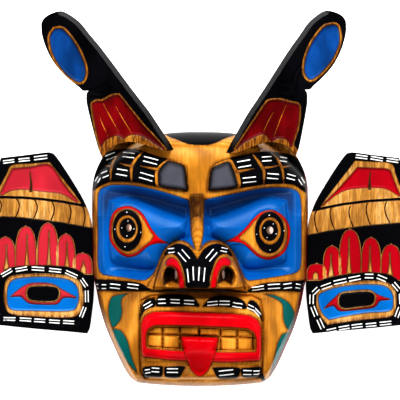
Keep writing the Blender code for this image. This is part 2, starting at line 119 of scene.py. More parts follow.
def bowed(points: Points, count: int) -> np.ndarray:
    """Gives points along the parabola from the first point to the last through the middle one.

    Args:
        points: The start, the middle and the end of the line.
        count: How many points to give.

    Returns:
        An array of count points.
    """
    start, middle, end = np.array(points, float)
    t = np.linspace(0, 1, count)[:, None]
    return start + (end - start) * t + 4 * t * (1 - t) * (middle - (start + end) / 2)


def mirrored(points: Points) -> np.ndarray:
    """Closes an outline from its right half, which is listed from the top down.

    Args:
        points: The right half's points, with the middle line at x = 0.

    Returns:
        The whole outline's points.
    """
    return np.array(list(points) + [(-x, y) for x, y in reversed(points)], float)


def depth_in(outline: np.ndarray | Points, x: np.ndarray, y: np.ndarray) -> np.ndarray:
    """Measures how far points lie inside a closed outline.

    The distance is the least one to any edge of the outline; its sign comes from how many
    edges a ray to the right crosses. Points well outside the outline's box are not measured.

    Args:
        outline: The outline's corners.
        x: The points' first coordinates.
        y: The points' second coordinates.

    Returns:
        The distance in, below zero outside, as an array of x's shape.
    """
    a = np.asarray(outline, float)
    b = np.roll(a, -1, axis=0)
    edge = b - a
    length = np.maximum((edge**2).sum(axis=1), 1e-12)
    rise = np.where(edge[:, 1] == 0, 1e-12, edge[:, 1])
    flat_x, flat_y = np.ravel(x), np.ravel(y)
    low, high = a.min(axis=0) - FAR, a.max(axis=0) + FAR
    near = (flat_x > low[0]) & (flat_x < high[0]) & (flat_y > low[1]) & (flat_y < high[1])
    result = np.full(flat_x.shape, -FAR)
    px, py = flat_x[near][:, None], flat_y[near][:, None]
    if len(px):
        t = ((px - a[:, 0]) * edge[:, 0] + (py - a[:, 1]) * edge[:, 1]) / length
        t = np.clip(t, 0, 1)
        away = np.hypot(px - a[:, 0] - t * edge[:, 0], py - a[:, 1] - t * edge[:, 1])
        crossing = ((a[:, 1] > py) != (b[:, 1] > py)) & (
            px < edge[:, 0] * (py - a[:, 1]) / rise + a[:, 0])
        side = np.where(crossing.sum(axis=1) % 2 == 1, 1.0, -1.0)
        result[near] = away.min(axis=1) * side
    return result.reshape(np.shape(x))


def line_distance(points: Points | np.ndarray, x: np.ndarray, y: np.ndarray) -> np.ndarray:
    """Measures how far points are from an open line of straight runs.

    Args:
        points: The line's corners.
        x: The points' first coordinates.
        y: The points' second coordinates.

    Returns:
        The distance, as an array of x's shape.
    """
    far = np.full(np.shape(x), np.inf)
    corners = np.asarray(points, float)
    for a, b in zip(corners, corners[1:]):
        edge = b - a
        t = ((x - a[0]) * edge[0] + (y - a[1]) * edge[1]) / max(edge @ edge, 1e-9)
        t = np.clip(t, 0, 1)
        far = np.minimum(far, np.hypot(x - a[0] - t * edge[0], y - a[1] - t * edge[1]))
    return far


def ease(t: np.ndarray) -> np.ndarray:
    """Gives a soft step from 0 to 1: three squares less two cubes."""
    t = np.clip(t, 0, 1)
    return t * t * (3 - 2 * t)


def dome(t: np.ndarray) -> np.ndarray:
    """Gives a quarter-round rise from 0 to 1."""
    t = np.clip(t, 0, 1)
    return np.sqrt(1 - (1 - t) ** 2)


def follow(y: np.ndarray, stations: np.ndarray | Points) -> np.ndarray:
    """Reads a value that follows stations of (y, value), listed upwards."""
    table = np.asarray(stations, float)
    return np.interp(y, table[:, 0], table[:, 1])


def patch(
    left: np.ndarray, right: np.ndarray, bottom: np.ndarray, top: np.ndarray,
    shares_u: np.ndarray, shares_v: np.ndarray,
) -> tuple[np.ndarray, np.ndarray]:
    """Fills the space between four edge curves with a grid.

    Opposite edges are blended with each other, and what the corners count twice is taken off.

    Args:
        left: The edge at share 0 across.
        right: The edge at share 1 across.
        bottom: The edge at share 0 up.
        top: The edge at share 1 up.
        shares_u: The grid's shares across.
        shares_v: The grid's shares up.

    Returns:
        The grid's two coordinates.
    """
    u, v = np.meshgrid(shares_u, shares_v)

    def at(edge: np.ndarray, share: np.ndarray) -> np.ndarray:
        """Reads an edge curve at a share of its length."""
        where = np.linspace(0, 1, len(edge))
        return np.stack([np.interp(share, where, edge[:, k]) for k in (0, 1)], axis=-1)

    u3, v3 = u[..., None], v[..., None]
    corners = ((1 - u3) * (1 - v3) * bottom[0] + u3 * (1 - v3) * bottom[-1]
               + (1 - u3) * v3 * top[0] + u3 * v3 * top[-1])
    points = ((1 - v3) * at(bottom, u) + v3 * at(top, u)
              + (1 - u3) * at(left, v) + u3 * at(right, v) - corners)
    return points[..., 0], points[..., 1]


class Paint(Enum):
    """The paints that lie on the wood, by the name of their attribute."""

    BLACK = "black"
    BLUE = "blue"
    RED = "red"
    TEAL = "teal"
    # Grey laid over black as a painted sheen.
    GREY_SHEEN = "grey_sheen"
    # Scorched lines, and the painted shadow along the nose's foot.
    BURNT_AND_SHADOW = "burnt_and_shadow"
    MAROON = "maroon"


class PaintMap:
    """Which paint lies at each point, as depths inside the painted shapes."""

    def __init__(self, x: np.ndarray, y: np.ndarray) -> None:
        """Starts with bare wood at every point.

        Args:
            x: The points' first coordinates on the piece's drawing.
            y: The points' second coordinates on it.
        """
        self.x, self.y = x, y
        self.depths = {paint: np.full(x.shape, -FAR) for paint in Paint}
        self.edge = np.full(x.shape, FAR)
        self.stroke = np.full(x.shape, FAR)
        self.stain_and_shade = np.zeros(x.shape)
        self.shade = np.zeros(x.shape)

    def cover(self, paint: Paint | None, depth: np.ndarray, carved: bool = True) -> None:
        """Lays one shape over what is there.

        The shape's paint keeps the greater of its old and new depth, and every other paint is
        cut back to lie as far outside the shape as the shape is deep.

        Args:
            paint: The shape's paint, or None for bare wood.
            depth: How far each point is inside the shape.
            carved: Whether a carved line runs round the shape.
        """
        depth = np.clip(depth, -FAR, FAR)
        for other, old in self.depths.items():
            if other is paint:
                self.depths[other] = np.maximum(old, depth)
            else:
                self.depths[other] = np.minimum(old, -depth)
        if carved:
            self.edge = np.where(depth > 0, depth, np.minimum(self.edge, -depth))

    def shape(self, paint: Paint | None, points: Points, carved: bool = True) -> np.ndarray:
        """Lays a smooth closed shape.

        Args:
            paint: The shape's paint, or None for bare wood.
            points: The points that its outline passes through.
            carved: Whether a carved line runs round the shape.

        Returns:
            How far each point is inside the shape.
        """
        depth = depth_in(ring(points), self.x, self.y)
        self.cover(paint, depth, carved)
        return depth

    def vein(
        self, paint: Paint | None, points: Points, widths: tuple[float, ...],
    ) -> None:
        """Lays a smooth line whose half width changes evenly from width to width.

        Args:
            paint: The line's paint, or None for bare wood.
            points: The points that the line passes through.
            widths: The half widths at even steps along the line.
        """
        line = smooth_line(points, 20)
        halves = np.interp(np.linspace(0, 1, 19), np.linspace(0, 1, len(widths)), widths)
        depth = np.full(self.x.shape, -FAR)
        for half, a, b in zip(halves, line, line[1:]):
            depth = np.maximum(depth, half - line_distance([a, b], self.x, self.y))
        self.cover(paint, depth, carved=False)
        self.edge = np.where(depth > -FAR, np.minimum(self.edge, np.abs(depth)), self.edge)

    def stain_and_shade_spots(self, spots: list[tuple[float, ...]]) -> None:
        """Darkens the wood by soft spots of stained wood and painted shade, each a bell curve in
        both directions.

        Args:
            spots: Each spot's x, y, half width, half height and strength.
        """
        for x, y, wide, tall, strength in spots:
            share = np.exp(-((self.x - x) / wide) ** 2 - ((self.y - y) / tall) ** 2)
            self.stain_and_shade = 1 - (1 - self.stain_and_shade) * (1 - strength * share)

    def dashes(self, pairs: list[tuple[float, ...]]) -> None:
        """Adds pairs of white dashes.

        Args:
            pairs: For each pair the ends of the line between its dashes, x, y, x, y, and
                the distance between the dashes. No distance is a single dash or dot.
        """
        for x0, y0, x1, y1, apart in pairs:
            run = np.array([x1 - x0, y1 - y0], float)
            across = np.array([-run[1], run[0]]) / max(np.hypot(*run), 1e-6) * apart / 2
            for way in (-1, 1) if apart else (1,):
                ends = np.array([(x0, y0), (x1, y1)]) + way * across
                self.stroke = np.minimum(self.stroke, line_distance(ends, self.x, self.y))

    def groove(self, deep: float) -> np.ndarray:
        """Gives the depth of the V that the knife left along every carved edge."""
        return deep * np.clip(1 - self.edge / KNIFE_WIDTH, 0, 1)

    def add_back(self, flipped: bool) -> None:
        """Adds a black back's points to those of a plate's front.

        Args:
            flipped: Whether the plate's columns run the other way than the painted ones.
        """
        def both(values: np.ndarray, back: float) -> np.ndarray:
            """Adds one value for every point of the back to the front's values."""
            front = values[:, ::-1] if flipped else values
            return np.concatenate([front.ravel(), np.full(values.size, back)])

        self.depths = {paint: both(depth, FAR if paint is Paint.BLACK else -FAR)
                       for paint, depth in self.depths.items()}
        self.edge, self.stroke = both(self.edge, FAR), both(self.stroke, FAR)
        self.stain_and_shade, self.shade = both(self.stain_and_shade, 0.0), both(self.shade, 0.0)

    def write(self, mesh: bpy.types.Mesh) -> None:
        """Puts the map on a mesh as attributes, one value for each vertex.

        Args:
            mesh: The painted piece's mesh, with as many vertices as the map has points.
        """
        fields = {paint.value: depth for paint, depth in self.depths.items()}
        fields |= {"edge": self.edge, "stroke": self.stroke, "stain_and_shade": self.stain_and_shade,
                   "shade": self.shade}
        for name, values in fields.items():
            attribute = mesh.attributes.new(name, "FLOAT", "POINT")
            attribute.data.foreach_set("value", np.ravel(values).astype(np.float32))


def grid_faces(rows: int, columns: int) -> np.ndarray:
    """Lists the four-sided faces of a grid of points.

    Args:
        rows: How many rows of points the grid has.
        columns: How many points a row has; the points are counted row by row.

    Returns:
        The faces, each as the numbers of its four points.
    """
    index = np.arange(rows * columns).reshape(rows, columns)
    corners = [index[:-1, :-1], index[:-1, 1:], index[1:, 1:], index[1:, :-1]]
    return np.stack(corners, axis=-1).reshape(-1, 4)


def border(rows: int, columns: int) -> np.ndarray:
    """Lists the points round the border of a grid, once round."""
    index = np.arange(rows * columns).reshape(rows, columns)
    return np.concatenate([index[0, :-1], index[:-1, -1], index[-1, :0:-1], index[:0:-1, 0]])


def make_mesh(name: str, points: np.ndarray, faces: list[list[int]]) -> bpy.types.Object:
    """Makes a smooth-shaded object whose sharp edges stay sharp.

    Args:
        name: The piece's name.
        points: The vertices in metres.
        faces: The faces, each a list of vertex numbers.

    Returns:
        The new object, at the origin.
    """
    mesh = bpy.data.meshes.new(name)
    mesh.from_pydata(points.tolist(), [], faces)
    mesh.shade_smooth()
    mesh.set_sharp_from_angle(angle=math.radians(CREASE_ANGLE))
    piece = bpy.data.objects.new(name, mesh)
    bpy.context.scene.collection.objects.link(piece)
    return piece


def make_plate(name: str, front: np.ndarray, back: np.ndarray) -> bpy.types.Object:
    """Makes a closed plate between a front and a back grid that share their outline.

    The border's wall has rows of its own, so that its shading doesn't smear over the front.

    Args:
        name: The piece's name.
        front: The front's points, rows by columns by three, in metres.
        back: The back's points, likewise.

    Returns:
        The new object.
    """
    rows, columns = front.shape[:2]
    count = rows * columns
    top = grid_faces(rows, columns)
    under = top[:, ::-1] + count
    loop = border(rows, columns)
    after = np.roll(loop, -1)
    wall = np.stack([loop + count, after + count, after, loop], axis=1)
    points = np.concatenate([front.reshape(-1, 3), back.reshape(-1, 3)])
    return make_mesh(name, points, np.concatenate([top, under, wall]).tolist())


@dataclass(frozen=True)
class Cedar:
    """Oiled cedar with satin paint laid on it by the paint map's attributes."""

    name: str
    light: tuple[float, float, float] = (0.82, 0.42, 0.075)
    honey: tuple[float, float, float] = (0.60, 0.255, 0.028)
    brown: tuple[float, float, float] = (0.20, 0.072, 0.013)
    # Dark brown of scorched lines, also used for painted shadow and painted shade.
    scorch_and_shade: tuple[float, float, float] = (0.035, 0.013, 0.006)
    black: tuple[float, float, float] = (0.006, 0.006, 0.008)
    # The painted sheen's grey, laid over black.
    grey_sheen: tuple[float, float, float] = (0.095, 0.095, 0.115)
    blue: tuple[float, float, float] = (0.0, 0.130, 0.42)
    red: tuple[float, float, float] = (0.62, 0.001, 0.010)
    maroon: tuple[float, float, float] = (0.20, 0.004, 0.006)
    teal: tuple[float, float, float] = (0.002, 0.13, 0.12)
    white: tuple[float, float, float] = (0.86, 0.87, 0.85)
    stroke_width: float = 0.62
    mottle: float = 0.12
    gloss: float = 0.11
    black_gloss: float = 0.03
    blue_gloss: float = 0.20
    tree_middle: tuple[float, float, float] = (0.035, 0.0, -0.16)
    ring_spacing: float = 0.0052
    streak_scale: tuple[float, float, float] = (460, 26, 150)
    hatch_scale: tuple[float, float, float] = (620, 90, 160)
    cloud_scale: tuple[float, float, float] = (34, 16, 20)
    wobble_scale: tuple[float, float, float] = (330, 330, 330)
    brush_scale: tuple[float, float, float] = (700, 150, 400)
    grain_stops: tuple[float, float, float] = (0.40, 0.50, 0.64)
    thread_share: float = 0.26
    dusk_reach: float = 3.6
    dusk_share: float = 0.62
    line_share: float = 0.65
    shade_share: float = 0.6
    roughness: tuple[float, float] = (0.22, 0.20)
    bump_strength: float = 0.30
    bump_height: float = 0.0004

    def build(self) -> bpy.types.Material:
        """Builds the material: wood with scorched edges, stained wood and painted shade, each
        paint, the painted shade under the brows, then the white dashes.

        Returns:
            The finished material.
        """
        material = bpy.data.materials.new(self.name)
        material.use_nodes = True
        sheet = NodeSheet(material.node_tree)
        shader = material.node_tree.nodes["Principled BSDF"]
        place = sheet.add("ShaderNodeTexCoord").outputs["Object"]

        streak = sheet.noise(place, self.streak_scale, 4)
        hatch = sheet.noise(place, self.hatch_scale, 3)
        cloud = sheet.noise(place, self.cloud_scale, 3)
        wobble = sheet.noise(place, self.wobble_scale, 2)
        brush = sheet.noise(place, self.brush_scale, 3)

        rings = sheet.scaled(sheet.rings(place, self.tree_middle, self.ring_spacing), 0.10)
        grain = sheet.math("ADD", rings, sheet.scaled(streak, 0.22))
        grain = sheet.math("ADD", grain, sheet.scaled(cloud, 0.68))
        tones = [self.shaded(self.honey, 0.66), self.honey, self.light]
        wood = sheet.ramp(grain, list(zip(self.grain_stops, tones)))
        thread = sheet.scaled(sheet.between(streak, 0.60, 0.74), self.thread_share)
        wood = sheet.mix(thread, wood, self.brown)

        # Wood darkens towards brown near the carved edges, and by the attribute that holds stained
        # wood and painted shade; a hatching breaks it up.
        edge = sheet.attribute("edge")
        dusk = sheet.scaled(sheet.between(edge, self.dusk_reach, 0.2), self.dusk_share)
        dusk = sheet.math("MAXIMUM", dusk, sheet.attribute("stain_and_shade"))
        hatching = sheet.math("MULTIPLY_ADD", sheet.between(hatch, 0.38, 0.62), 0.65, 0.45)
        wood = sheet.mix(sheet.math("MULTIPLY", dusk, hatching), wood, self.brown)

        shift = sheet.math("MULTIPLY_ADD", wobble, 0.5, -0.25)
        colour = wood
        for paint in Paint:
            value = self.scorch_and_shade if paint is Paint.BURNT_AND_SHADOW else getattr(self, paint.value)
            coat = sheet.mix(sheet.between(cloud, 0.35, 0.65),
                             self.shaded(value, 1 - self.mottle),
                             self.shaded(value, 1 + self.mottle))
            depth = sheet.math("ADD", sheet.attribute(paint.value), shift)
            # Painted sheen: black at the shape's border, growing lighter grey towards its middle,
            # as a painted highlight.
            if paint is Paint.GREY_SHEEN:
                coat = sheet.mix(sheet.between(depth, 0.3, 6.0), self.black, coat)
            colour = sheet.mix(sheet.between(depth, -0.12, 0.12), colour, coat)
        dark = sheet.math("MAXIMUM", sheet.attribute("black"), sheet.attribute("grey_sheen"))
        line = sheet.math("MULTIPLY", sheet.between(edge, 0.85, 0.3),
                          sheet.between(dark, 0.1, -0.1))
        line = sheet.scaled(line, self.line_share)
        colour = sheet.mix(line, colour, self.shaded(self.brown, 0.4))
        # Painted shade darkens every colour towards the scorched brown, under the brows and over
        # the bridge.
        shade = sheet.scaled(sheet.attribute("shade"), self.shade_share)
        colour = sheet.mix(shade, colour, self.scorch_and_shade)
        stroke = sheet.math("MULTIPLY_ADD", wobble, 0.3, sheet.attribute("stroke"))
        low, high = self.stroke_width + 0.28, self.stroke_width + 0.02
        colour = sheet.mix(sheet.between(stroke, low, high), colour, self.white)
        sheet.link(colour, shader.inputs["Base Color"])

        smoothest, spread = self.roughness
        rough = sheet.math("MULTIPLY_ADD", brush, spread, smoothest)
        sheet.link(rough, shader.inputs["Roughness"])
        gloss = self.gloss
        for paint, shine in (("black", self.black_gloss), ("blue", self.blue_gloss)):
            there = sheet.between(sheet.attribute(paint), -0.12, 0.12)
            gloss = sheet.math("MULTIPLY_ADD", there, shine - self.gloss, gloss)
        sheet.link(gloss, shader.inputs["Specular IOR Level"])
        height = sheet.math("ADD", sheet.scaled(brush, 0.5), sheet.scaled(streak, 0.5))
        bump = sheet.add("ShaderNodeBump")
        bump.inputs["Strength"].default_value = self.bump_strength
        bump.inputs["Distance"].default_value = self.bump_height
        sheet.link(height, bump.inputs["Height"])
        sheet.link(bump.outputs["Normal"], shader.inputs["Normal"])
        return material

    @staticmethod
    def shaded(colour: tuple[float, ...], factor: float) -> tuple[float, ...]:
        """Makes a colour darker or lighter by a factor."""
        return tuple(min(1.0, channel * factor) for channel in colour)


class NodeSheet:
    """A material's node tree, with short calls for the nodes that the finishes need."""

    def __init__(self, tree: bpy.types.NodeTree) -> None:
        """Keeps the tree that the nodes go into."""
        self.tree = tree

    def add(self, kind: str) -> bpy.types.Node:
        """Adds a node of one kind."""
        return self.tree.nodes.new(kind)

    def link(self, source: object, socket: bpy.types.NodeSocket) -> None:
        """Joins an output to an input, or sets a plain value on the input.

        Args:
            source: The output, or a number, or a colour of three channels.
            socket: The input.
        """
        if isinstance(source, bpy.types.NodeSocket):
            self.tree.links.new(source, socket)
        elif isinstance(source, tuple):
            socket.default_value = (*source, 1.0)
        else:
            socket.default_value = source

    def attribute(self, name: str) -> bpy.types.NodeSocket:
        """Reads one of the mesh's attributes.

        Args:
            name: The attribute's name.

        Returns:
            Its value as a number.
        """
        node = self.add("ShaderNodeAttribute")
        node.attribute_name = name
        return node.outputs["Fac"]

    def noise(
        self, place: bpy.types.NodeSocket, scale: tuple[float, ...], detail: int,
    ) -> bpy.types.NodeSocket:
        """Adds a noise that is stretched along the axes.

        Args:
            place: The coordinates that it reads.
            scale: How many features it has for each metre, along each axis.
            detail: How many finer layers are added to it.

        Returns:
            The noise, from 0 to 1.
        """
        mapping = self.add("ShaderNodeMapping")
        mapping.inputs["Scale"].default_value = scale
        self.link(place, mapping.inputs["Vector"])
        node = self.add("ShaderNodeTexNoise")
        node.inputs["Scale"].default_value = 1.0
        node.inputs["Detail"].default_value = detail
        self.link(mapping.outputs["Vector"], node.inputs["Vector"])
        return node.outputs["Fac"]

    def rings(
        self, place: bpy.types.NodeSocket, middle: tuple[float, ...], spacing: float,
    ) -> bpy.types.NodeSocket:
        """Adds a tree's year rings round an axis along Y.

        Args:
            place: The coordinates that they read.
            middle: A point of the axis, in metres.
            spacing: The distance between two rings, in metres.

        Returns:
            The rings' tone, from 0 to 1.
        """
        mapping = self.add("ShaderNodeMapping")
        mapping.inputs["Location"].default_value = [-value for value in middle]
        self.link(place, mapping.inputs["Vector"])
        node = self.add("ShaderNodeTexWave")
        node.wave_type = "RINGS"
        node.rings_direction = "Y"
        node.inputs["Scale"].default_value = math.pi / 10 / spacing
        node.inputs["Distortion"].default_value = 5.0
        node.inputs["Detail"].default_value = 2.0
        node.inputs["Detail Scale"].default_value = 0.35
        self.link(mapping.outputs["Vector"], node.inputs["Vector"])
        return node.outputs["Fac"]

    def math(self, operation: str, *values: object) -> bpy.types.NodeSocket:
        """Works out a sum.

        Args:
            operation: The kind of sum, by its name.
            values: The outputs and numbers that go into it, in order.

        Returns:
            The sum's result.
        """
        node = self.add("ShaderNodeMath")
        node.operation = operation
        for value, socket in zip(values, node.inputs):
            self.link(value, socket)
        return node.outputs["Value"]

    def scaled(self, value: bpy.types.NodeSocket, factor: float) -> bpy.types.NodeSocket:
        """Multiplies a value by a factor."""
        return self.math("MULTIPLY", value, factor)

    def between(self, value: object, low: float, high: float) -> bpy.types.NodeSocket:
        """Turns the stretch between two limits into a soft step.

        Args:
            value: The output that is read.
            low: The limit where the step is 0; it may be the greater of the two.
            high: The limit where the step is 1.

        Returns:
            The step, from 0 to 1.
        """
        node = self.add("ShaderNodeMapRange")
        node.interpolation_type = "SMOOTHSTEP"
        swap = low > high
        self.link(value, node.inputs["Value"])
        node.inputs["From Min"].default_value = high if swap else low
        node.inputs["From Max"].default_value = low if swap else high
        node.inputs["To Min"].default_value = 1.0 if swap else 0.0
        node.inputs["To Max"].default_value = 0.0 if swap else 1.0
        return node.outputs["Result"]

    def mix(self, share: object, first: object, second: object) -> bpy.types.NodeSocket:
        """Mixes two colours.

        Args:
            share: The second colour's share, as an output or a number.
            first: The first colour.
            second: The second colour.

        Returns:
            The mixed colour.
        """
        node = self.add("ShaderNodeMix")
        node.data_type = "RGBA"
        self.link(share, node.inputs[0])
        self.link(first, node.inputs[6])
        self.link(second, node.inputs[7])
        return node.outputs[2]

    def ramp(self, value: object, stops: list[tuple[float, tuple]]) -> bpy.types.NodeSocket:
        """Turns a value into colours.

        Args:
            value: The output that is read.
            stops: Pairs of a value and the colour that it gives.

        Returns:
            The colour.
        """
        node = self.add("ShaderNodeValToRGB")
        stops_in = node.color_ramp.elements
        while len(stops_in) < len(stops):
            stops_in.new(0.5)
        for stop, (where, colour) in zip(stops_in, stops):
            stop.position = where
            stop.color = (*colour, 1.0)
        self.link(value, node.inputs["Fac"])
        return node.outputs["Color"]


def dress(piece: bpy.types.Object, node: str, finish: Cedar) -> None:
    """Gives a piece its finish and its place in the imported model.

    Args:
        piece: The finished piece.
        node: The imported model's node that it stands for.
        finish: The wood and paint that it takes.
    """
    piece.data.materials.clear()
    piece.data.materials.append(finish.build())
    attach(piece, "root")
    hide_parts(node)
    LOG.info("%s: %d faces", piece.name, len(piece.data.polygons))


# Carved forms of the face, in millimetres from its middle line and up from its origin.
BROW = ring([
    (10.2, 6), (10.8, 18), (12.5, 30), (18, 34.5), (38, 39.5), (58, 46), (68, 48.2), (80, 47.5),
    (92, 44), (101, 36), (106, 22), (106, 8), (101, 9.5), (88, 15.5), (68, 15.5), (48, 12),
    (28, 7.5),
])
SOCKET = ring([
    (-12, 3.5), (5, 3.5), (11, -1), (28, 3.5), (48, 9), (68, 12.5), (88, 12.5), (95.5, 9.5),
    (99.5, 4), (100.3, -10), (100.5, -40), (100.5, -66), (98, -74), (90, -78), (73, -80),
    (54, -82.5), (44, -81), (34, -76), (-12, -64), (-12, -30),
], 110)
EYEBALL = ring([
    (87, -4), (78, -0.5), (67, 0), (57, -2.5), (46, -7), (36, -11), (26, -15), (16, -18),
    (8.5, -21), (8.5, -37), (17, -42), (27, -48), (34, -57), (39, -67), (47, -70), (60, -69),
    (74, -66.5), (86, -63), (88.5, -50), (88.5, -20),
])
EYELID = ring([
    (27, -45.5), (38, -40), (46, -30.5), (51, -21.5), (56, -14.5), (63, -10), (70, -8.5),
    (80, -11.5), (86, -20.5), (88, -32.5), (87, -43), (82, -51), (75, -57), (68, -59), (60, -56.5),
    (53, -50.5), (48, -47), (40, -44.2),
])
CHEEK_BAND = ring([
    (46, -91.5), (49, -88.5), (60, -84.5), (75, -82.5), (90, -82), (99, -82), (104, -84),
    (104, -92), (90, -92.5), (70, -92.5),
])
MUZZLE = mirrored([
    (0, -97), (30, -96.5), (50, -98), (59, -102), (60.8, -115), (60.8, -150), (60, -172),
    (56, -179), (30, -180.5), (0, -180.5),
])
LIPS = mirrored([
    (0, -113), (30, -113.2), (48, -114.5), (56, -119), (59.8, -127), (59.8, -150), (58, -159),
    (30, -161.5), (0, -161.8),
])
MOUTH = mirrored([
    (0, -126.5), (30, -126.8), (46, -127.5), (52, -131), (54.5, -137), (54.5, -148),
    (53, -150.5), (30, -151.5), (0, -151.8),
])
TONGUE = mirrored([
    (0, -137), (18.7, -137.5), (17.3, -147), (14.7, -155), (12, -162.5), (8.6, -170),
    (4, -175.3), (0, -176.5),
])
TONGUE_MIDDLE = -1.5
TOOTH_CUTS = [-38.0, -21.0, -2.0, 19.0, 35.5, 51.0]
TOOTH_LINE = -136.5

# Painted shapes of the face, in the photograph's pixels.
CROWN = [
    (100, 120), (98, 146), (106, 145), (118, 139), (132, 136.5), (148, 136), (158, 134),
    (163.8, 133.8), (168.8, 136.9), (177.7, 140.2), (186.6, 144), (192, 145.2), (198.8, 145.5),
    (205, 145.4), (211, 145), (217.6, 142.4), (224.3, 139), (232, 136.3), (240, 135),
    (262, 138), (280, 142), (296, 150), (304, 150), (300, 120),
]
BRIDGE = [
    (188.6, 193.4), (196, 192.8), (204.4, 193.4), (203.8, 200), (203.2, 208), (202.3, 217),
    (198, 216.5), (191.6, 217), (190.6, 208), (189.2, 200),
]
SOCKETS = [
    (Paint.BLUE, [
        (189, 200.5), (180, 197), (170, 193.8), (160, 190.8), (150, 188.5), (140, 186.5),
        (130, 185.2), (120, 184.9), (110, 185.3), (103, 188), (99.3, 192), (98.3, 202),
        (98.2, 235), (98.2, 262), (99.5, 270), (103, 274), (110, 275.3), (125, 277),
        (135, 278.7), (144, 279.6), (149, 277.5), (154, 272), (158, 264), (161, 256),
        (165, 249), (171, 243), (178, 240), (185, 240.5), (191, 244.5), (195.6, 251),
        (193.2, 243), (191, 232), (190.3, 215),
    ]),
    (Paint.BLUE, [
        (204.5, 199.5), (213, 197.8), (228, 195), (248, 191), (262, 188.6), (275, 187.6),
        (288, 188.3), (296, 190.5), (299.7, 197), (300.8, 212), (301, 240), (300.7, 260),
        (299.5, 268.5), (295, 272.5), (284, 274.8), (268, 277.2), (255, 279), (246.5, 279.3),
        (243, 274), (239, 264.5), (235.5, 256), (230, 247.5), (223.5, 242), (216, 239.8),
        (208.5, 240.5), (202.5, 244.5), (199.3, 251), (201, 243), (203, 232), (203.6, 215),
    ]),
    (None, BRIDGE),
]
BROWS = [
    (Paint.BLACK, [
        (188, 191.5), (187.5, 180), (187, 169), (184, 165.5), (170, 160), (160, 157.5),
        (150, 154), (140, 151), (130, 149), (120, 149.5), (111, 151), (104, 155),
        (98, 163), (94, 172), (91.5, 182), (90, 193.5), (97, 188), (103, 184.5), (110, 182),
        (120, 181.6), (130, 182), (140, 183), (150, 185.3), (160, 187.3), (170, 189.5),
        (180, 191.2),
    ]),
    (None, [
        (169, 159), (180, 161.5), (188, 166.5), (190.3, 171), (191, 180), (191.3, 193),
        (180, 192.5), (159, 188.5), (155.7, 178), (156, 172), (160, 165.5),
    ]),
    # Painted sheen on the left brow's inner panel.
    (Paint.GREY_SHEEN, [
        (168.5, 161), (177, 163), (184, 166), (186, 171), (187.2, 180), (187.8, 190.8),
        (180, 190.2), (161, 186.8), (158.7, 178), (159, 172), (162.8, 166),
    ]),
    (Paint.BLACK, [
        (206.8, 192.2), (207.8, 180), (209, 171.5), (211.5, 167), (218, 162.5), (230, 158.5),
        (245, 155.3), (260, 152.5), (270, 152.3), (280, 153), (289, 154.5), (296, 157.5),
        (303, 166), (307.5, 178), (309.5, 194), (303, 191), (297, 186.5), (290, 184),
        (275, 183.8), (262, 184.9), (250, 186.6), (237, 188.4), (220, 191.2),
    ]),
    (None, [
        (203.5, 193), (204, 180), (205.5, 170), (209, 165.3), (218, 161.5), (229.3, 159),
        (235.5, 168), (238.7, 174), (239, 189), (222, 192.5),
    ]),
    # Painted sheen on the right brow's inner panel.
    (Paint.GREY_SHEEN, [
        (208, 191), (208.8, 180), (211.3, 169.3), (219, 165), (228.3, 162.2), (232.7, 169.5),
        (235.8, 179), (236, 187.7), (222, 190.2),
    ]),
]
# Bare lines between the plates of the brows, each with its half widths.
BROW_VEINS = [
    ([(143.5, 152.3), (138, 158), (133.5, 164.5), (132, 171), (132.3, 182.5)],
     (0.6, 1.6, 1.6, 0.8)),
    ([(133, 166.7), (126, 165.2), (119, 163)], (1.3, 0.4)),
    ([(122.3, 150.3), (117, 156.5), (113, 163.5), (111.6, 171), (111.3, 181)],
     (0.5, 1.4, 1.3, 0.7)),
    ([(112.5, 166.8), (104, 165.3)], (1.2, 0.4)),
    ([(158, 169.6), (150, 168.3), (141, 166.3)], (1.5, 0.4)),
    ([(252, 155), (257, 161), (261, 167), (263.3, 172), (263.2, 184)], (0.6, 1.7, 1.5, 0.8)),
    ([(262.5, 168.2), (271, 167.3), (279, 165.5)], (1.3, 0.4)),
    ([(270, 152.5), (276, 158), (280, 166), (282, 172), (283, 183)], (0.5, 1.5, 1.3, 0.7)),
    ([(281, 167.6), (290.5, 166)], (1.2, 0.4)),
    ([(237, 172), (246, 170.3), (254, 168.8)], (1.5, 0.4)),
]
# For each eye the lid, then the middles of the outer ring, the inner ring and the pupil.
EYES = [
    ([(169.5, 243.2), (160, 238), (152, 228.5), (147, 219.5), (142, 212.5), (135, 207.8),
      (128, 206), (118, 208.7), (112, 216.5), (109.8, 229), (110.8, 240), (116, 248.3),
      (123, 254.5), (130, 256.5), (138, 254.2), (145, 248.5), (150, 245), (158, 242.8)],
     (128.0, 230.0), (127.7, 228.7), (128.3, 228.2)),
    ([(225.5, 241.2), (236, 235.8), (245, 227.8), (252, 219.5), (260, 212.5), (268, 210),
      (276, 211.5), (284.5, 218), (289.3, 228), (288.7, 240), (284.5, 250.5), (277, 256.5),
      (268, 259), (262, 258), (255, 254.3), (247, 246.5), (240, 242.2)],
     (269.0, 232.0), (269.3, 230.6), (269.0, 230.2)),
]
LID_TIPS = [
    [(147, 244), (152, 240), (155, 235), (160, 238), (172, 243), (160, 246)],
    [(249, 246), (243.5, 242), (239, 238), (236.5, 233), (232, 235), (222, 241.5), (238, 245)],
]
EYE_DOTS = [
    (127.5, 212), (115.4, 229), (141.3, 232), (125.5, 246.3), (128.7, 220.8), (122.3, 227.5),
    (134.6, 228.5), (127.5, 235.5), (268.3, 215), (256, 234), (283.3, 230.5), (269.3, 249.5),
    (272.3, 223.5), (263.5, 227.5), (275.3, 233.5), (266.3, 237),
]
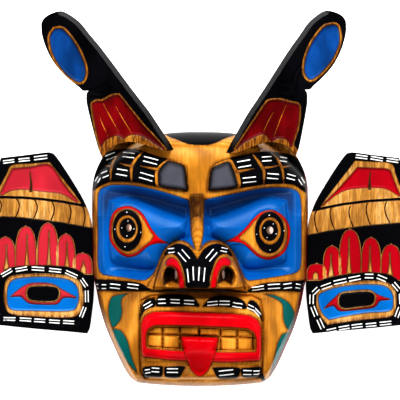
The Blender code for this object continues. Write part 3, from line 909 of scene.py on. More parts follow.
NOSE = [
    (None, [
        (202.3, 217.2), (197, 216), (191.3, 217.5), (190.9, 226), (192, 235), (194, 243),
        (196, 250), (193, 247.5), (187, 242.3), (181, 240.6), (174, 242), (168, 246),
        (163, 253), (159, 262), (155, 273), (150.5, 290), (200, 291), (246.5, 290),
        (243.5, 279), (239, 267), (235, 257), (229.5, 248.3), (223, 243), (216, 240.8),
        (208.5, 241.7), (203, 246), (199, 251.5), (201.5, 243), (203.2, 234), (203.6, 226),
    ]),
    (Paint.BLACK, [
        (197.5, 258.3), (193, 251), (188, 246), (182, 243.7), (176, 243.6), (170, 246.5),
        (165.8, 251), (164, 255.5), (170, 253), (175, 254), (180, 259.5), (183.5, 268),
        (185.8, 277), (186.8, 285.6), (197, 286), (208.6, 285.6), (209.4, 277),
        (212, 267.5), (215.7, 258.7), (220.5, 254), (226.5, 253), (232, 256.5),
        (230.5, 251.5), (226, 246.5), (220.5, 244), (214, 243.6), (208, 245.7), (202.6, 250.2),
    ]),
    (Paint.RED, [
        (166.3, 261), (169.5, 257.7), (173.5, 257), (178, 260.3), (181.7, 268.5), (184, 278),
        (184.8, 286), (180, 285.5), (178.7, 276), (175.6, 268), (171.8, 264.5), (167.5, 265.3),
    ]),
    (Paint.BURNT_AND_SHADOW, [
        (164.4, 283.5), (163.7, 276), (165.7, 269), (169.3, 266.3), (173, 268), (176.5, 274),
        (178, 281.5), (172, 279.7),
    ]),
    (Paint.RED, [
        (230.5, 260.5), (227, 257.3), (222.5, 256.7), (217.7, 260), (213.7, 268), (211.4, 278),
        (210.6, 286), (215.6, 285.3), (216.7, 276), (219.6, 268), (223.6, 264.3), (229, 265),
    ]),
    (Paint.BURNT_AND_SHADOW, [
        (231, 283), (232, 276), (230, 269), (226.3, 266), (222.3, 268), (218.8, 274),
        (217.3, 281.5), (223.5, 279.5),
    ]),
]
CHEEKS = [
    (Paint.BLACK, [
        (152.5, 289.5), (147, 285.5), (140, 282.3), (130, 280.7), (120, 280), (110, 279.2),
        (100, 279.3), (92, 279), (91.5, 294), (97, 291.5), (104, 289.9), (112, 290.1),
        (125, 290), (140, 290),
    ]),
    (Paint.BLACK, [
        (246.2, 291.2), (251.4, 286.3), (261.6, 283), (273.8, 281.5), (291, 280.5), (301, 280),
        (308.5, 280), (309, 297), (304.4, 293.8), (299.3, 291.5), (289, 290.2), (273.8, 289.8),
        (258.5, 291),
    ]),
    (Paint.TEAL, [
        (129, 292.5), (122, 293.5), (113, 296), (110, 302), (109, 310), (110, 318),
        (113.3, 326.3), (117.5, 323.5), (121.3, 318), (122.8, 310), (121.8, 303), (123, 297),
    ]),
    (Paint.TEAL, [
        (113, 327.3), (121, 329.5), (126, 335.5), (129.3, 343.5), (132, 355), (137.5, 370.5),
        (130, 363), (122, 350), (117, 340),
    ]),
    (Paint.TEAL, [
        (263, 293.2), (272, 294), (281, 297.3), (288.5, 302.5), (293, 310), (294, 318),
        (293, 325), (290, 330), (285.3, 325.3), (282.7, 318), (282.4, 308), (281, 302.5),
        (276, 298.5), (268.5, 295.3),
    ]),
    (Paint.TEAL, [
        (291, 331), (283, 332.7), (278.5, 338.5), (275.8, 347), (273.5, 358), (269.8, 376),
        (274, 371), (280, 362), (286, 350), (290, 338),
    ]),
    (Paint.BLACK, [
        (155.2, 296.2), (147.7, 298), (143, 302.7), (141.4, 309.5), (140.4, 318.5), (142.5, 313.8),
        (145.3, 309.3), (150.5, 306.4), (155.4, 304.9), (156, 300),
    ]),
    (Paint.BLACK, [
        (156.8, 304.9), (156.8, 298.6), (159.3, 295.3), (165.5, 293.9), (177.7, 293.5),
        (190, 294.6), (195.5, 298), (199.2, 304.8), (190, 304.3), (178, 304.9), (165.5, 305.3),
    ]),
    (Paint.BLACK, [
        (202.6, 304.8), (206.4, 300), (210.5, 296.6), (217.3, 294.5), (225.5, 294.6),
        (236.4, 296.2), (242.5, 299.3), (245.8, 304), (244.8, 307.3), (233.6, 306.2),
        (222.7, 304.9), (211.8, 304.6),
    ]),
    (Paint.BLACK, [
        (246.9, 305.5), (248, 300.7), (251.4, 299), (256, 302), (259.5, 307.5), (261.2, 314),
        (261.6, 320), (258.9, 315.3), (255.5, 311.6), (250, 308.9),
    ]),
    (Paint.BLACK, [
        (143.2, 366.5), (147.7, 364.4), (162, 364), (163.2, 367.5), (162.5, 373),
        (159.3, 375.3), (151.8, 375), (145, 376.3), (143.2, 371),
    ]),
    (Paint.BLACK, [
        (164.8, 364.6), (183.9, 364), (183.5, 368.2), (180.5, 373.6), (176.4, 375.6),
        (168.2, 375.2), (165, 372.3),
    ]),
    (Paint.BLACK, [
        (212.3, 365.3), (225, 365), (239, 366.2), (238.6, 372.3), (235.7, 376.3),
        (228.2, 377.2), (220, 376.9), (216.4, 373.8), (214.3, 369.5),
    ]),
    (Paint.BLACK, [
        (240.4, 366.2), (250, 365.5), (259.7, 365.3), (261.6, 370.2), (264.3, 377.7),
        (265, 381), (262, 379.3), (258.5, 376.5), (245.9, 375.8), (241.6, 373.6), (240.2, 369.5),
    ]),
]
# Dark lines with their half widths: the first is a painted shadow along the nose's foot, the other
# two run down the nose's sides.
BURNT_AND_SHADOW_LINES = [
    ([(152, 290.3), (175, 289.2), (200, 289), (225, 289.2), (246, 291.3)], (0.8, 1.8, 1.8, 0.8)),
    ([(154, 288), (157.4, 274), (162, 260.5), (165, 255)], (0.3, 0.45, 0.3)),
    ([(244.5, 288), (240, 272), (235, 259.5), (232, 255)], (0.3, 0.45, 0.3)),
]
# Pairs of white dashes: the ends of the line between the two, then their distance.
FACE_DASHES = [
    (144.5, 159.2, 158, 162.7, 4.4), (123.3, 154.7, 134.8, 156.1, 4.4),
    (106, 158.1, 115.5, 154.5, 4.1), (140.5, 175.2, 153.5, 179, 5.0),
    (117.5, 171.7, 128, 173.5, 5.2), (102.5, 175.6, 108.5, 173.3, 4.8),
    (96.8, 182, 99.3, 177.5, 3.2),
    (237.5, 165.2, 249.7, 163, 5.6), (261.5, 159.5, 270.5, 159, 4.0),
    (279.5, 159.2, 286.5, 160, 3.8), (242.3, 180.8, 255, 179.5, 4.6),
    (266.7, 176, 277.7, 177, 4.6), (286.5, 176.2, 294.3, 178.2, 4.0),
    (299.5, 178.5, 303, 184, 3.6),
    (187.5, 267.5, 188.9, 280.2, 0), (193.1, 265.3, 193.8, 278.3, 0),
    (199.4, 265.7, 198.5, 278.8, 0), (204.8, 266.3, 203.6, 279.6, 0),
    (180.3, 250.3, 188, 258.7, 4.8), (215, 250, 207.6, 258.4, 4.8),
    (168.5, 250.3, 174.5, 249.5, 3.8), (221, 248.5, 227, 249.9, 3.2),
    (128.5, 284.7, 139, 286, 3.6), (111, 285, 120.5, 286, 3.8), (102.5, 286, 106.5, 286, 3.8),
    (96, 286, 98.5, 286, 3.6), (251.5, 288, 263, 286.3, 3.0), (267.3, 285.8, 279, 285.3, 4.0),
    (283, 285.7, 291, 284.6, 4.2), (295.3, 285.3, 300, 286, 3.8), (302.8, 285, 304.6, 285.5, 3.2),
    (145, 305.6, 152, 301.5, 3.2), (159, 300, 166, 299.6, 3.9), (171, 299.6, 180, 300, 3.2),
    (184.5, 300.4, 194, 301, 3.4), (207.5, 302.2, 217.2, 301.4, 3.2),
    (219.5, 301.2, 229, 301.4, 3.4), (232.5, 303, 241.5, 304.4, 3.8),
    (247.2, 304.7, 252.3, 307, 3.2), (253.6, 307.6, 259.5, 314, 2.6),
    (146, 369.5, 150.5, 368.7, 3.2), (152.5, 367.5, 159.5, 368, 3.6),
    (167.5, 368.2, 178, 368.3, 3.6), (219, 371, 232.7, 369.6, 4.4),
    (242.7, 370.2, 250.7, 370.5, 4.0), (253, 370.6, 259, 370.5, 3.4),
]
# Soft brown spots of stained wood and painted shade: place, half width, half height and strength.
# The painted shade lies under the nose, over the bridge, below the cheek bands and beside the
# muzzle.
FACE_STAIN_AND_SHADE_SPOTS = [
    (134, 296, 9, 6, 0.75), (266, 297, 8, 6, 0.6), (140, 335, 3, 40, 0.5),
    (264, 340, 3, 40, 0.55), (200, 292, 50, 3.5, 0.7), (168, 263, 4, 6, 0.3),
    (158, 276, 4, 9, 0.45), (239, 276, 3.5, 9, 0.3), (100, 300, 5, 8, 0.45),
    (125, 311, 4, 12, 0.35), (171, 284, 8, 3, 0.3), (226, 284, 8, 3, 0.2),
    (155, 361.5, 16, 2.5, 0.4), (245, 362.5, 16, 2.5, 0.35), (186, 372, 5, 5, 0.35),
    (150, 384, 20, 4, 0.25), (250, 384, 20, 5, 0.35), (178, 152, 14, 6, 0.22),
    (215, 152, 12, 5, 0.18), (196.5, 206, 9, 13, 1.0), (165, 308, 12, 1.6, 0.3),
    (283, 297, 3, 2.5, 0.5), (100, 192, 5, 8, 0.35), (303, 192, 5, 8, 0.35),
    (103, 152, 7, 8, 0.8), (299, 152, 6, 8, 0.7), (196, 226, 7, 9, 0.3),
    (128, 228.5, 12, 15, 0.6), (269, 230.5, 12, 15, 0.6),
]


def tooth_gap(m: np.ndarray, level: np.ndarray) -> np.ndarray:
    """Measures how far points are from the nearest cut between the teeth.

    Args:
        m: The points' distances to the right of the carved middle line.
        level: The points' heights up the face, less the mouth's tilt.

    Returns:
        The distance to the nearest upright cut or to the line between the two rows.
    """
    cuts = np.min([np.abs(m - cut) for cut in TOOTH_CUTS], axis=0)
    return np.minimum(cuts, np.abs(level - TOOTH_LINE))


@dataclass
class Face:
    """The carved and hollowed head."""

    node: str = "face"
    side_height: float = 45.0
    cheek_height: float = 62.0
    forehead_height: float = 97.0
    nose_height: float = 138.0
    socket_height: float = 70.0
    rim_wall: float = 12.0
    half_width: float = 107.8
    height: float = 253.8
    cavity_depth: float = 56.0
    columns: int = 221
    rows: int = 261
    pupil: tuple[float, float] = (70.0, -30.0)
    eye_hole: float = 4.25
    eye_front: float = 87.0
    eye_lean: float = 0.15
    nostril: tuple[float, float] = (27.0, -77.5)
    nostril_size: tuple[float, float] = (7.5, 9.5)
    nostril_place: tuple[float, float] = (25.3, -75.5)
    nostril_hole: tuple[float, float] = (3.3, 6.2)
    nostril_front: float = 112.0
    nostril_lean: float = -0.12
    low: float = -188.3
    top: float = 65.5
    nose_widths: tuple = (
        (-90.0, 45.5), (-88.0, 45.3), (-74.0, 42.0), (-64.0, 38.0), (-55.0, 33.0),
        (-48.0, 27.0), (-44.0, 20.0), (-40.0, 11.5), (-27.0, 7.6), (-10.0, 8.0), (5.0, 9.5),
    )
    nose_ridge: tuple = (
        (-90.0, 0.97), (-84.0, 1.0), (-76.0, 1.0), (-68.0, 0.93), (-60.0, 0.75),
        (-52.0, 0.45), (-44.0, 0.15), (-30.0, -0.12), (-18.0, -0.20), (-6.0, -0.12), (2.0, 0.0),
    )
    centre_shares: tuple = (
        (-188.3, 0.61), (-170.0, 0.84), (-150.0, 0.97), (-130.0, 0.99), (-100.0, 0.944),
        (-60.0, 0.917), (-30.0, 0.955), (0.0, 0.995), (20.0, 0.99), (40.0, 0.91),
        (52.0, 0.778), (65.5, 0.556),
    )
    mouth_tilt: float = 0.035
    right_eye_drop: float = 2.5
    nose_blend: float = 5.0
    nose_roundness: float = 2.3
    brow_rise: float = 6.0
    band_rise: float = 5.0
    muzzle_rise: float = 10.0
    muzzle_ditch: float = 3.0
    lip_rise: float = 6.0
    mouth_depth: float = 10.0
    tooth_rise: float = 8.5
    tooth_round: float = 3.2
    tongue_rise: float = 17.0
    tongue_fall: float = 16.0
    chin_step: float = 2.5
    eyeball_rise: float = 16.0
    eyeball_reach: float = 26.0
    eyelid_rise: float = 1.6
    socket_slope: float = 10.0
    nostril_rim: float = 6.0
    nostril_depth: float = 16.0
    knife_depth: float = 0.7
    lid_width: float = 2.3
    eye_ring: tuple[float, float] = (14.6, 20.6)
    eye_inner: tuple[float, float] = (10.8, 13.6)
    eye_pupil: tuple[float, float] = (8.1, 10.2)
    corner_reach: int = 12
    side_stations: np.ndarray = field(default_factory=lambda: smooth_line([
        (-188.3, 62.0), (-184.0, 67.0), (-179.0, 71.5), (-167.0, 78.0), (-151.0, 85.0),
        (-131.0, 93.5), (-110.0, 100.0), (-91.0, 103.8), (-78.5, 106.3), (-52.5, 107.2),
        (-20.0, 107.8), (6.0, 107.8), (17.5, 106.5), (28.5, 103.4), (42.0, 97.0),
        (52.5, 89.0), (59.0, 80.0), (63.0, 66.0), (65.5, 50.0),
    ], 160))

    def side(self, y: np.ndarray) -> np.ndarray:
        """Gives half the face's width at a height."""
        return follow(y, self.side_stations)

    def middle(self, y: np.ndarray) -> np.ndarray:
        """Gives the carved middle line, which steps a little to the right at the mouth."""
        return -1.8 + 3.0 * ease((-50 - y) / 50)

    def upper(self, x: np.ndarray) -> np.ndarray:
        """Gives how high the outline reaches.

        The crown falls with the cube of the distance out, until the shoulder's curve is lower.

        Args:
            x: The distances to the right of the middle.

        Returns:
            The outline's height there.
        """
        crown = self.top - 5.0 * (np.abs(x) / 50) ** 3
        shoulder = self.side_stations[np.argmax(self.side_stations[:, 1]):][::-1]
        return np.minimum(crown, np.interp(np.abs(x), shoulder[:, 1], shoulder[:, 0]))

    def lower(self, x: np.ndarray) -> np.ndarray:
        """Gives the bottom edge: rising with the square of the distance out."""
        return self.low + 3.5 * np.clip(np.abs(x) / 62, 0, 1.2) ** 2

    def outline_grid(self, u: np.ndarray, v: np.ndarray) -> tuple[np.ndarray, np.ndarray]:
        """Places shares across, from -1 to 1, and up, from 0 to 1, inside the outline.

        A point's level is its share of the height. Near the top and the bottom edges it is
        moved on to them by a high power of its share.

        Args:
            u: The shares across.
            v: The shares up.

        Returns:
            The points' distances to the right of the middle and their heights up the face.
        """
        level = self.low + (self.top - self.low) * v
        drop = self.top - self.upper(u * self.side(np.array(self.top)))
        rise = self.lower(u * self.side(np.array(self.low))) - self.low
        y = level - drop * v**self.corner_reach + rise * (1 - v) ** self.corner_reach
        return u * self.side(level), y

    def relief(self, x: np.ndarray, y: np.ndarray) -> np.ndarray:
        """Works out the carved front's height above the rim.

        A domed face carries the raised brows, cheek bands, muzzle, lips and tongue; the eye
        sockets are sunk into it with a domed eyeball in each, and the nose stands over them
        wherever it is higher. At the outline everything falls to the straight side wall.

        Args:
            x: The points' distances to the right of the middle.
            y: The points' heights up the face.

        Returns:
            The heights in millimetres.
        """
        m = x - self.middle(y)
        a = np.abs(m)
        level = y + self.mouth_tilt * m
        share = follow(y, smooth_line(self.centre_shares, 90))
        centre = self.cheek_height + (self.forehead_height - self.cheek_height) * share
        z = self.cheek_height + (centre - self.cheek_height) * (
            1 - np.clip(np.abs(x) / 104.0, 0, 1) ** 2.6)
        z = z + self.brow_rise * ease(depth_in(BROW, a, y) / 2.5)
        z = z + self.band_rise * dome(depth_in(CHEEK_BAND, a, y) / 5)

        muzzle = depth_in(MUZZLE, m, y)
        z = z + self.muzzle_rise * ease(muzzle / 3)
        z = z - self.muzzle_ditch * ease(1 - np.abs(muzzle) / 2.2)
        opening = depth_in(MOUTH, m, level)
        z = z + self.lip_rise * dome(depth_in(LIPS, m, level) / 6) * (1 - ease(opening / 2))
        z = z - self.mouth_depth * ease(opening / 2)
        tooth = dome(tooth_gap(m, level) / self.tooth_round)
        z = z + self.tooth_rise * ease(opening / 3) * tooth
        tongue = depth_in(TONGUE, m - TONGUE_MIDDLE, level)
        below = np.maximum(0, -150 - y) / 26.5
        tongue_top = centre + self.tongue_rise - self.tongue_fall * below**1.5
        swell = 0.8 * dome(tongue / 5) + 0.2 * dome(tongue / 16)
        z = np.where(tongue > 0, z + (tongue_top - z) * swell, z)
        step = ease((-162 - level) / 2) * ease((level + 168) / 3)
        step = step * ease(muzzle / 3) * (tongue < 0)
        z = z - self.chin_step * step

        ball = self.eyeball_rise * dome(depth_in(EYEBALL, a, y) / self.eyeball_reach)
        eye_y = y + self.right_eye_drop * (m > 0)
        lid = self.eyelid_rise * ease(depth_in(EYELID, a, eye_y) / 1.5)
        floor = self.socket_height + ball + lid
        z = z + (floor - z) * ease(depth_in(SOCKET, a, y) / self.socket_slope)

        half = follow(y, self.nose_widths)
        side = np.minimum(a / half, 1.6)
        ridge = centre + (self.nose_height - centre) * follow(y, self.nose_ridge)
        edge = self.socket_height + 10 + 12 * ease((-60 - y) / 25)
        nose = edge + (ridge - edge) * (1 - side**self.nose_roundness)
        hole = np.hypot((a - self.nostril[0]) / self.nostril_size[0],
                        (y - self.nostril[1]) / self.nostril_size[1])
        nose = nose + self.nostril_rim * np.exp(-((hole - 1.35) / 0.35) ** 2)
        nose = nose - self.nostril_depth * ease((1.15 - hole) / 0.5)
        nose = nose - 60 * (ease((-88.0 - y) / 4) + ease((y - 1) / 5))
        z = (z + nose + np.hypot(z - nose, self.nose_blend)) / 2

        edge_in = np.maximum(self.side(y) - np.abs(x), 0)
        rounded = (self.cheek_height + 4 - self.side_height) * (edge_in / 4.5)
        z = np.minimum(z, self.side_height + rounded)
        down = np.maximum(self.upper(x) - y, 0)
        up = np.maximum(y - self.lower(x), 0)
        return self.side_height + (z - self.side_height) * (
            dome((down + 0.3) / 17) * dome((up + 0.2) / 14))

    def painted(self, x: np.ndarray, y: np.ndarray, z: np.ndarray) -> PaintMap:
        """Paints points of the face.

        Args:
            x: The points' distances to the right of the middle.
            y: The points' heights up the face.
            z: The points' heights above the rim.

        Returns:
            The paint at each point.
        """
        m = x - self.middle(y)
        level = y + self.mouth_tilt * m
        marks = PaintMap(PHOTO_MIDDLE + x, PHOTO_LEVEL - y)
        marks.shape(Paint.BLACK, CROWN)
        for paint, points in SOCKETS + BROWS:
            marks.shape(paint, points, carved=paint is not None)
        for points, widths in BROW_VEINS:
            marks.vein(None, points, widths)
        for lid, ring_at, inner_at, pupil_at in EYES:
            red = marks.shape(Paint.RED, lid)
            tip = depth_in(LID_TIPS[0], marks.x, marks.y)
            tip = np.maximum(tip, depth_in(LID_TIPS[1], marks.x, marks.y))
            marks.cover(None, np.minimum(red - self.lid_width, -tip))
            self.oval(marks, ring_at, self.eye_ring, Paint.BLACK)
            self.oval(marks, inner_at, self.eye_inner, None)
            self.oval(marks, pupil_at, self.eye_pupil, Paint.BLACK)
        for paint, points in NOSE + CHEEKS:
            marks.shape(paint, points)
        self.paint_mouth(marks, m, level)
        # A painted shadow along the nose's foot, and dark lines down its sides.
        for points, widths in BURNT_AND_SHADOW_LINES:
            marks.vein(Paint.BURNT_AND_SHADOW, points, widths)
        marks.dashes(FACE_DASHES)
        marks.dashes([(x, y, x + 0.3, y, 0) for x, y in EYE_DOTS])
        # Soft spots of stained wood and painted shade.
        marks.stain_and_shade_spots(FACE_STAIN_AND_SHADE_SPOTS)
        edge_in = self.side(y) - np.abs(x)
        # Painted shade in each socket's upper part, under the brow and outside the eyeball, and
        # over the bridge between the brows.
        under_brow = depth_in(SOCKET, np.abs(m), y) / 9
        lift = depth_in(EYEBALL, np.abs(m), y) / 3
        marks.shade = ease(under_brow) * ease(-lift) * ease((y + 30) / 26)
        bridge = depth_in(ring(BRIDGE), marks.x, marks.y)
        marks.shade = np.maximum(marks.shade, ease(bridge / 1.5))
        rim_in = np.minimum(edge_in, np.minimum(y - self.lower(x), self.upper(x) - y))
        # The wood darkens towards the outline.
        marks.stain_and_shade = np.maximum(marks.stain_and_shade, 0.9 * np.clip(1 - rim_in / 7, 0, 1))
        sliver = np.where(y < -92, 1.2, 0.6) * np.where(x > 0, 2.4, 1.0) - edge_in
        marks.cover(Paint.MAROON, np.where(y < 24, sliver, -FAR), carved=False)
        self.paint_back(marks, y, z, rim_in)
        return marks

    @staticmethod
    def oval(
        marks: PaintMap, centre: tuple[float, float], size: tuple[float, float],
        paint: Paint | None,
    ) -> None:
        """Lays an oval of the eye; its depth is the oval's share times its lesser radius.

        Args:
            marks: The face's paint.
            centre: The oval's middle on the photograph.
            size: Its half width and half height.
            paint: Its paint, or None for bare wood.
        """
        share = np.hypot((marks.x - centre[0]) / size[0], (marks.y - centre[1]) / size[1])
        marks.cover(paint, (1 - share) * min(size))

    def paint_back(
        self, marks: PaintMap, y: np.ndarray, z: np.ndarray, rim_in: np.ndarray,
    ) -> None:
        """Paints the side wall maroon or black and leaves the rim and the hollow bare.

        The wall's points are the low ones near the outline and the hollow's are the low ones
        well inside it.

        Args:
            marks: The face's paint.
            y: The points' heights up the face.
            z: The points' heights above the rim.
            rim_in: How far the points are inside the face's outline.
        """
        wall = (z < self.side_height + 0.4) & (rim_in < self.rim_wall / 2)
        hollow = (z < self.side_height - 0.6) & (rim_in > self.rim_wall / 2)
        hollow |= (z < self.cavity_depth + 1.5) & (rim_in > 8)
        bare = hollow | (z < 5.0)
        dark = y > 8
        for paint, depth in marks.depths.items():
            depth[wall] = -FAR
            if paint is Paint.BLACK:
                depth[wall & dark] = FAR
            if paint is Paint.MAROON:
                depth[wall & ~dark] = FAR
            depth[bare] = -FAR
        for values, blank in ((marks.edge, FAR), (marks.stroke, FAR), (marks.stain_and_shade, 0.0)):
            values[wall | bare] = blank
        marks.stain_and_shade[bare] = 0.35

    def paint_mouth(self, marks: PaintMap, m: np.ndarray, level: np.ndarray) -> None:
        """Paints the lips, the teeth with their cuts and the tongue.

        Args:
            marks: The face's paint.
            m: The points' distances to the right of the carved middle line.
            level: The points' heights up the face, less the mouth's tilt.
        """
        muzzle = depth_in(MUZZLE, m, level - self.mouth_tilt * m)
        side = np.minimum(0.4 - np.abs(muzzle + 0.4), np.abs(m) - 52)
        marks.cover(Paint.BURNT_AND_SHADOW, side, carved=False)
        marks.cover(Paint.RED, depth_in(LIPS, m, level))
        opening = depth_in(MOUTH, m, level)
        marks.cover(None, opening)
        gap = tooth_gap(m, level)
        marks.cover(Paint.BURNT_AND_SHADOW, np.minimum(0.22 - gap, opening - 0.4), carved=False)
        marks.stain_and_shade = np.maximum(marks.stain_and_shade, 0.5 * (opening > 0) * np.clip(1 - gap / 1.6, 0, 1))
        marks.stain_and_shade = np.where((opening > 0) & (opening < 0.8), 0.6, marks.stain_and_shade)
        marks.cover(Paint.RED, depth_in(TONGUE, m - TONGUE_MIDDLE, level))

    def build(self) -> bpy.types.Object:
        """Builds the whole face: the front, the side wall, the rim and the hollow behind.

        Returns:
            The finished piece, before its finish.
        """
        u, v = np.meshgrid(np.linspace(-1, 1, self.columns), np.linspace(0, 1, self.rows))
        x, y = self.outline_grid(u, v)
        marks = self.painted(x, y, np.full(x.shape, 99.0))
        z = self.relief(x, y) - marks.groove(self.knife_depth)
        front = np.stack([x, y, z], axis=-1).reshape(-1, 3)
        loop = border(self.rows, self.columns)
        loop_u, loop_v = u.ravel()[loop], v.ravel()[loop]
        rings = [front[loop] * (1, 1, share) for share in np.linspace(1, 0, 8)[1:]]
        wall_u = self.rim_wall / self.half_width
        wall_v = self.rim_wall / self.height
        for shrink in 1 - (1 - np.linspace(1, 0.03, 24)) ** 1.5:
            inner_x, inner_y = self.outline_grid(
                loop_u * (1 - wall_u) * shrink, 0.5 + (loop_v - 0.5) * (1 - 2 * wall_v) * shrink)
            deep = self.cavity_depth * dome((1 - shrink) / 0.45)
            rings.append(np.stack([inner_x, inner_y, np.full(len(loop), deep)], axis=-1))
        middle = rings[-1].mean(axis=0)[None]
        points = np.concatenate([front] + rings + [middle]) * MM
        start = len(front)
        count = len(loop)
        rows_of = [loop] + [start + k * count + np.arange(count) for k in range(len(rings))]
        faces = grid_faces(self.rows, self.columns).tolist()
        for outer, inner in zip(rows_of, rows_of[1:]):
            after_out, after_in = np.roll(outer, -1), np.roll(inner, -1)
            faces += np.stack([inner, after_in, after_out, outer], axis=1).tolist()
        last = rows_of[-1]
        tip = np.full(count, len(points) - 1)
        faces += np.stack([tip, np.roll(last, -1), last], axis=1).tolist()
        return make_mesh("face_carving", points, faces)

    def pierce(self, piece: bpy.types.Object) -> None:
        """Cuts the eye and nostril holes through the face.

        Each hole is an oval tube that leans sideways with height, so that it meets the front
        where the photograph shows it.

        Args:
            piece: The face before its holes.
        """
        holes = []
        for side in (-1, 1):
            centre_x = self.middle(np.array(self.pupil[1])) + side * self.pupil[0]
            centre_y = self.pupil[1] - self.right_eye_drop * (side > 0)
            holes.append((centre_x, centre_y, self.eye_hole, self.eye_hole, self.eye_lean,
                          self.eye_front))
            centre_y = self.nostril_place[1]
            centre_x = self.middle(np.array(centre_y)) + side * self.nostril_place[0]
            holes.append((centre_x, centre_y, *self.nostril_hole, side * self.nostril_lean,
                          self.nostril_front))
        turn = np.linspace(0, 2 * math.pi, 24, endpoint=False)
        points, faces = [], []
        for x, y, wide, tall, lean, front in holes:
            first = len(points)
            for z in (-20.0, 200.0):
                shift = x + lean * (front - z)
                points += [(shift + wide * math.cos(t), y + tall * math.sin(t), z) for t in turn]
            count = len(turn)
            near = [first + k for k in range(count)]
            far = [first + count + k for k in range(count)]
            faces += [near[::-1], far]
            faces += [[near[k - 1], near[k], far[k], far[k - 1]] for k in range(count)]
        cutter = make_mesh("cutter", np.array(points) * MM, faces)
        cut = piece.modifiers.new("pierce", "BOOLEAN")
        cut.operation = "DIFFERENCE"
        cut.solver = "EXACT"
        cut.object = cutter
        seen = piece.evaluated_get(bpy.context.evaluated_depsgraph_get())
        pierced = bpy.data.meshes.new_from_object(seen)
        piece.modifiers.clear()
        piece.data = pierced
        bpy.data.objects.remove(cutter)

    def make(self) -> bpy.types.Object:
        """Builds, pierces and paints the face.

        Returns:
            The finished piece, on its own grid.
        """
        piece = self.build()
        self.pierce(piece)
        points = vertices(piece)
        self.painted(*(points / MM).T).write(piece.data)
        return piece


def vertices(piece: bpy.types.Object) -> np.ndarray:
    """Reads a piece's vertices.

    Args:
        piece: The piece.

    Returns:
        The vertices in metres, one row each.
    """
    points = np.empty(len(piece.data.vertices) * 3)
    piece.data.vertices.foreach_get("co", points)
    return points.reshape(-1, 3)


def move(piece: bpy.types.Object, shift: np.ndarray) -> None:
    """Moves a piece's mesh, so that its object stays at the origin.

    Args:
        piece: The piece.
        shift: How far it goes, in metres.
    """
    piece.data.vertices.foreach_set("co", (vertices(piece) + shift).ravel())
    piece.data.update()


def painted_plate(
    node: str, side: int, x: np.ndarray, y: np.ndarray, top: np.ndarray, under: np.ndarray,
    marks: PaintMap,
) -> bpy.types.Object:
    """Makes a closed plate between two heights over one grid, with its paint.

    Args:
        node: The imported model's node that the plate stands for.
        side: The side of the mask, -1 or 1; the right one's grid runs the other way.
        x: The grid's distances to the right of the middle.
        y: The grid's heights up the face.
        top: The front's heights above the rim.
        under: The back's heights above the rim.
        marks: The front's paint.

    Returns:
        The finished piece.
    """
    front = np.stack([x, y, top], axis=-1)
    back = np.stack([x, y, under], axis=-1)
    flipped = side > 0
    if flipped:
        front, back = front[:, ::-1], back[:, ::-1]
    piece = make_plate(node + "_carving", front * MM, back * MM)
    marks.add_back(flipped)
    marks.write(piece.data)
    return piece


@dataclass(frozen=True)
class WingDrawing:
    """The painted shapes of one wing, in pixels of the photograph's left half."""

    panel: Points
    trapeze: Points
    crack: Points
    band_top: Points
    band_bottom: Points
    arcs: list[Points]
    fingers: list[tuple[float, float, float]]
    finger_foot: float
    frame: Points
    blue: Points
    eye: Points
    pupil: Points
    dashes: list[tuple[float, ...]]


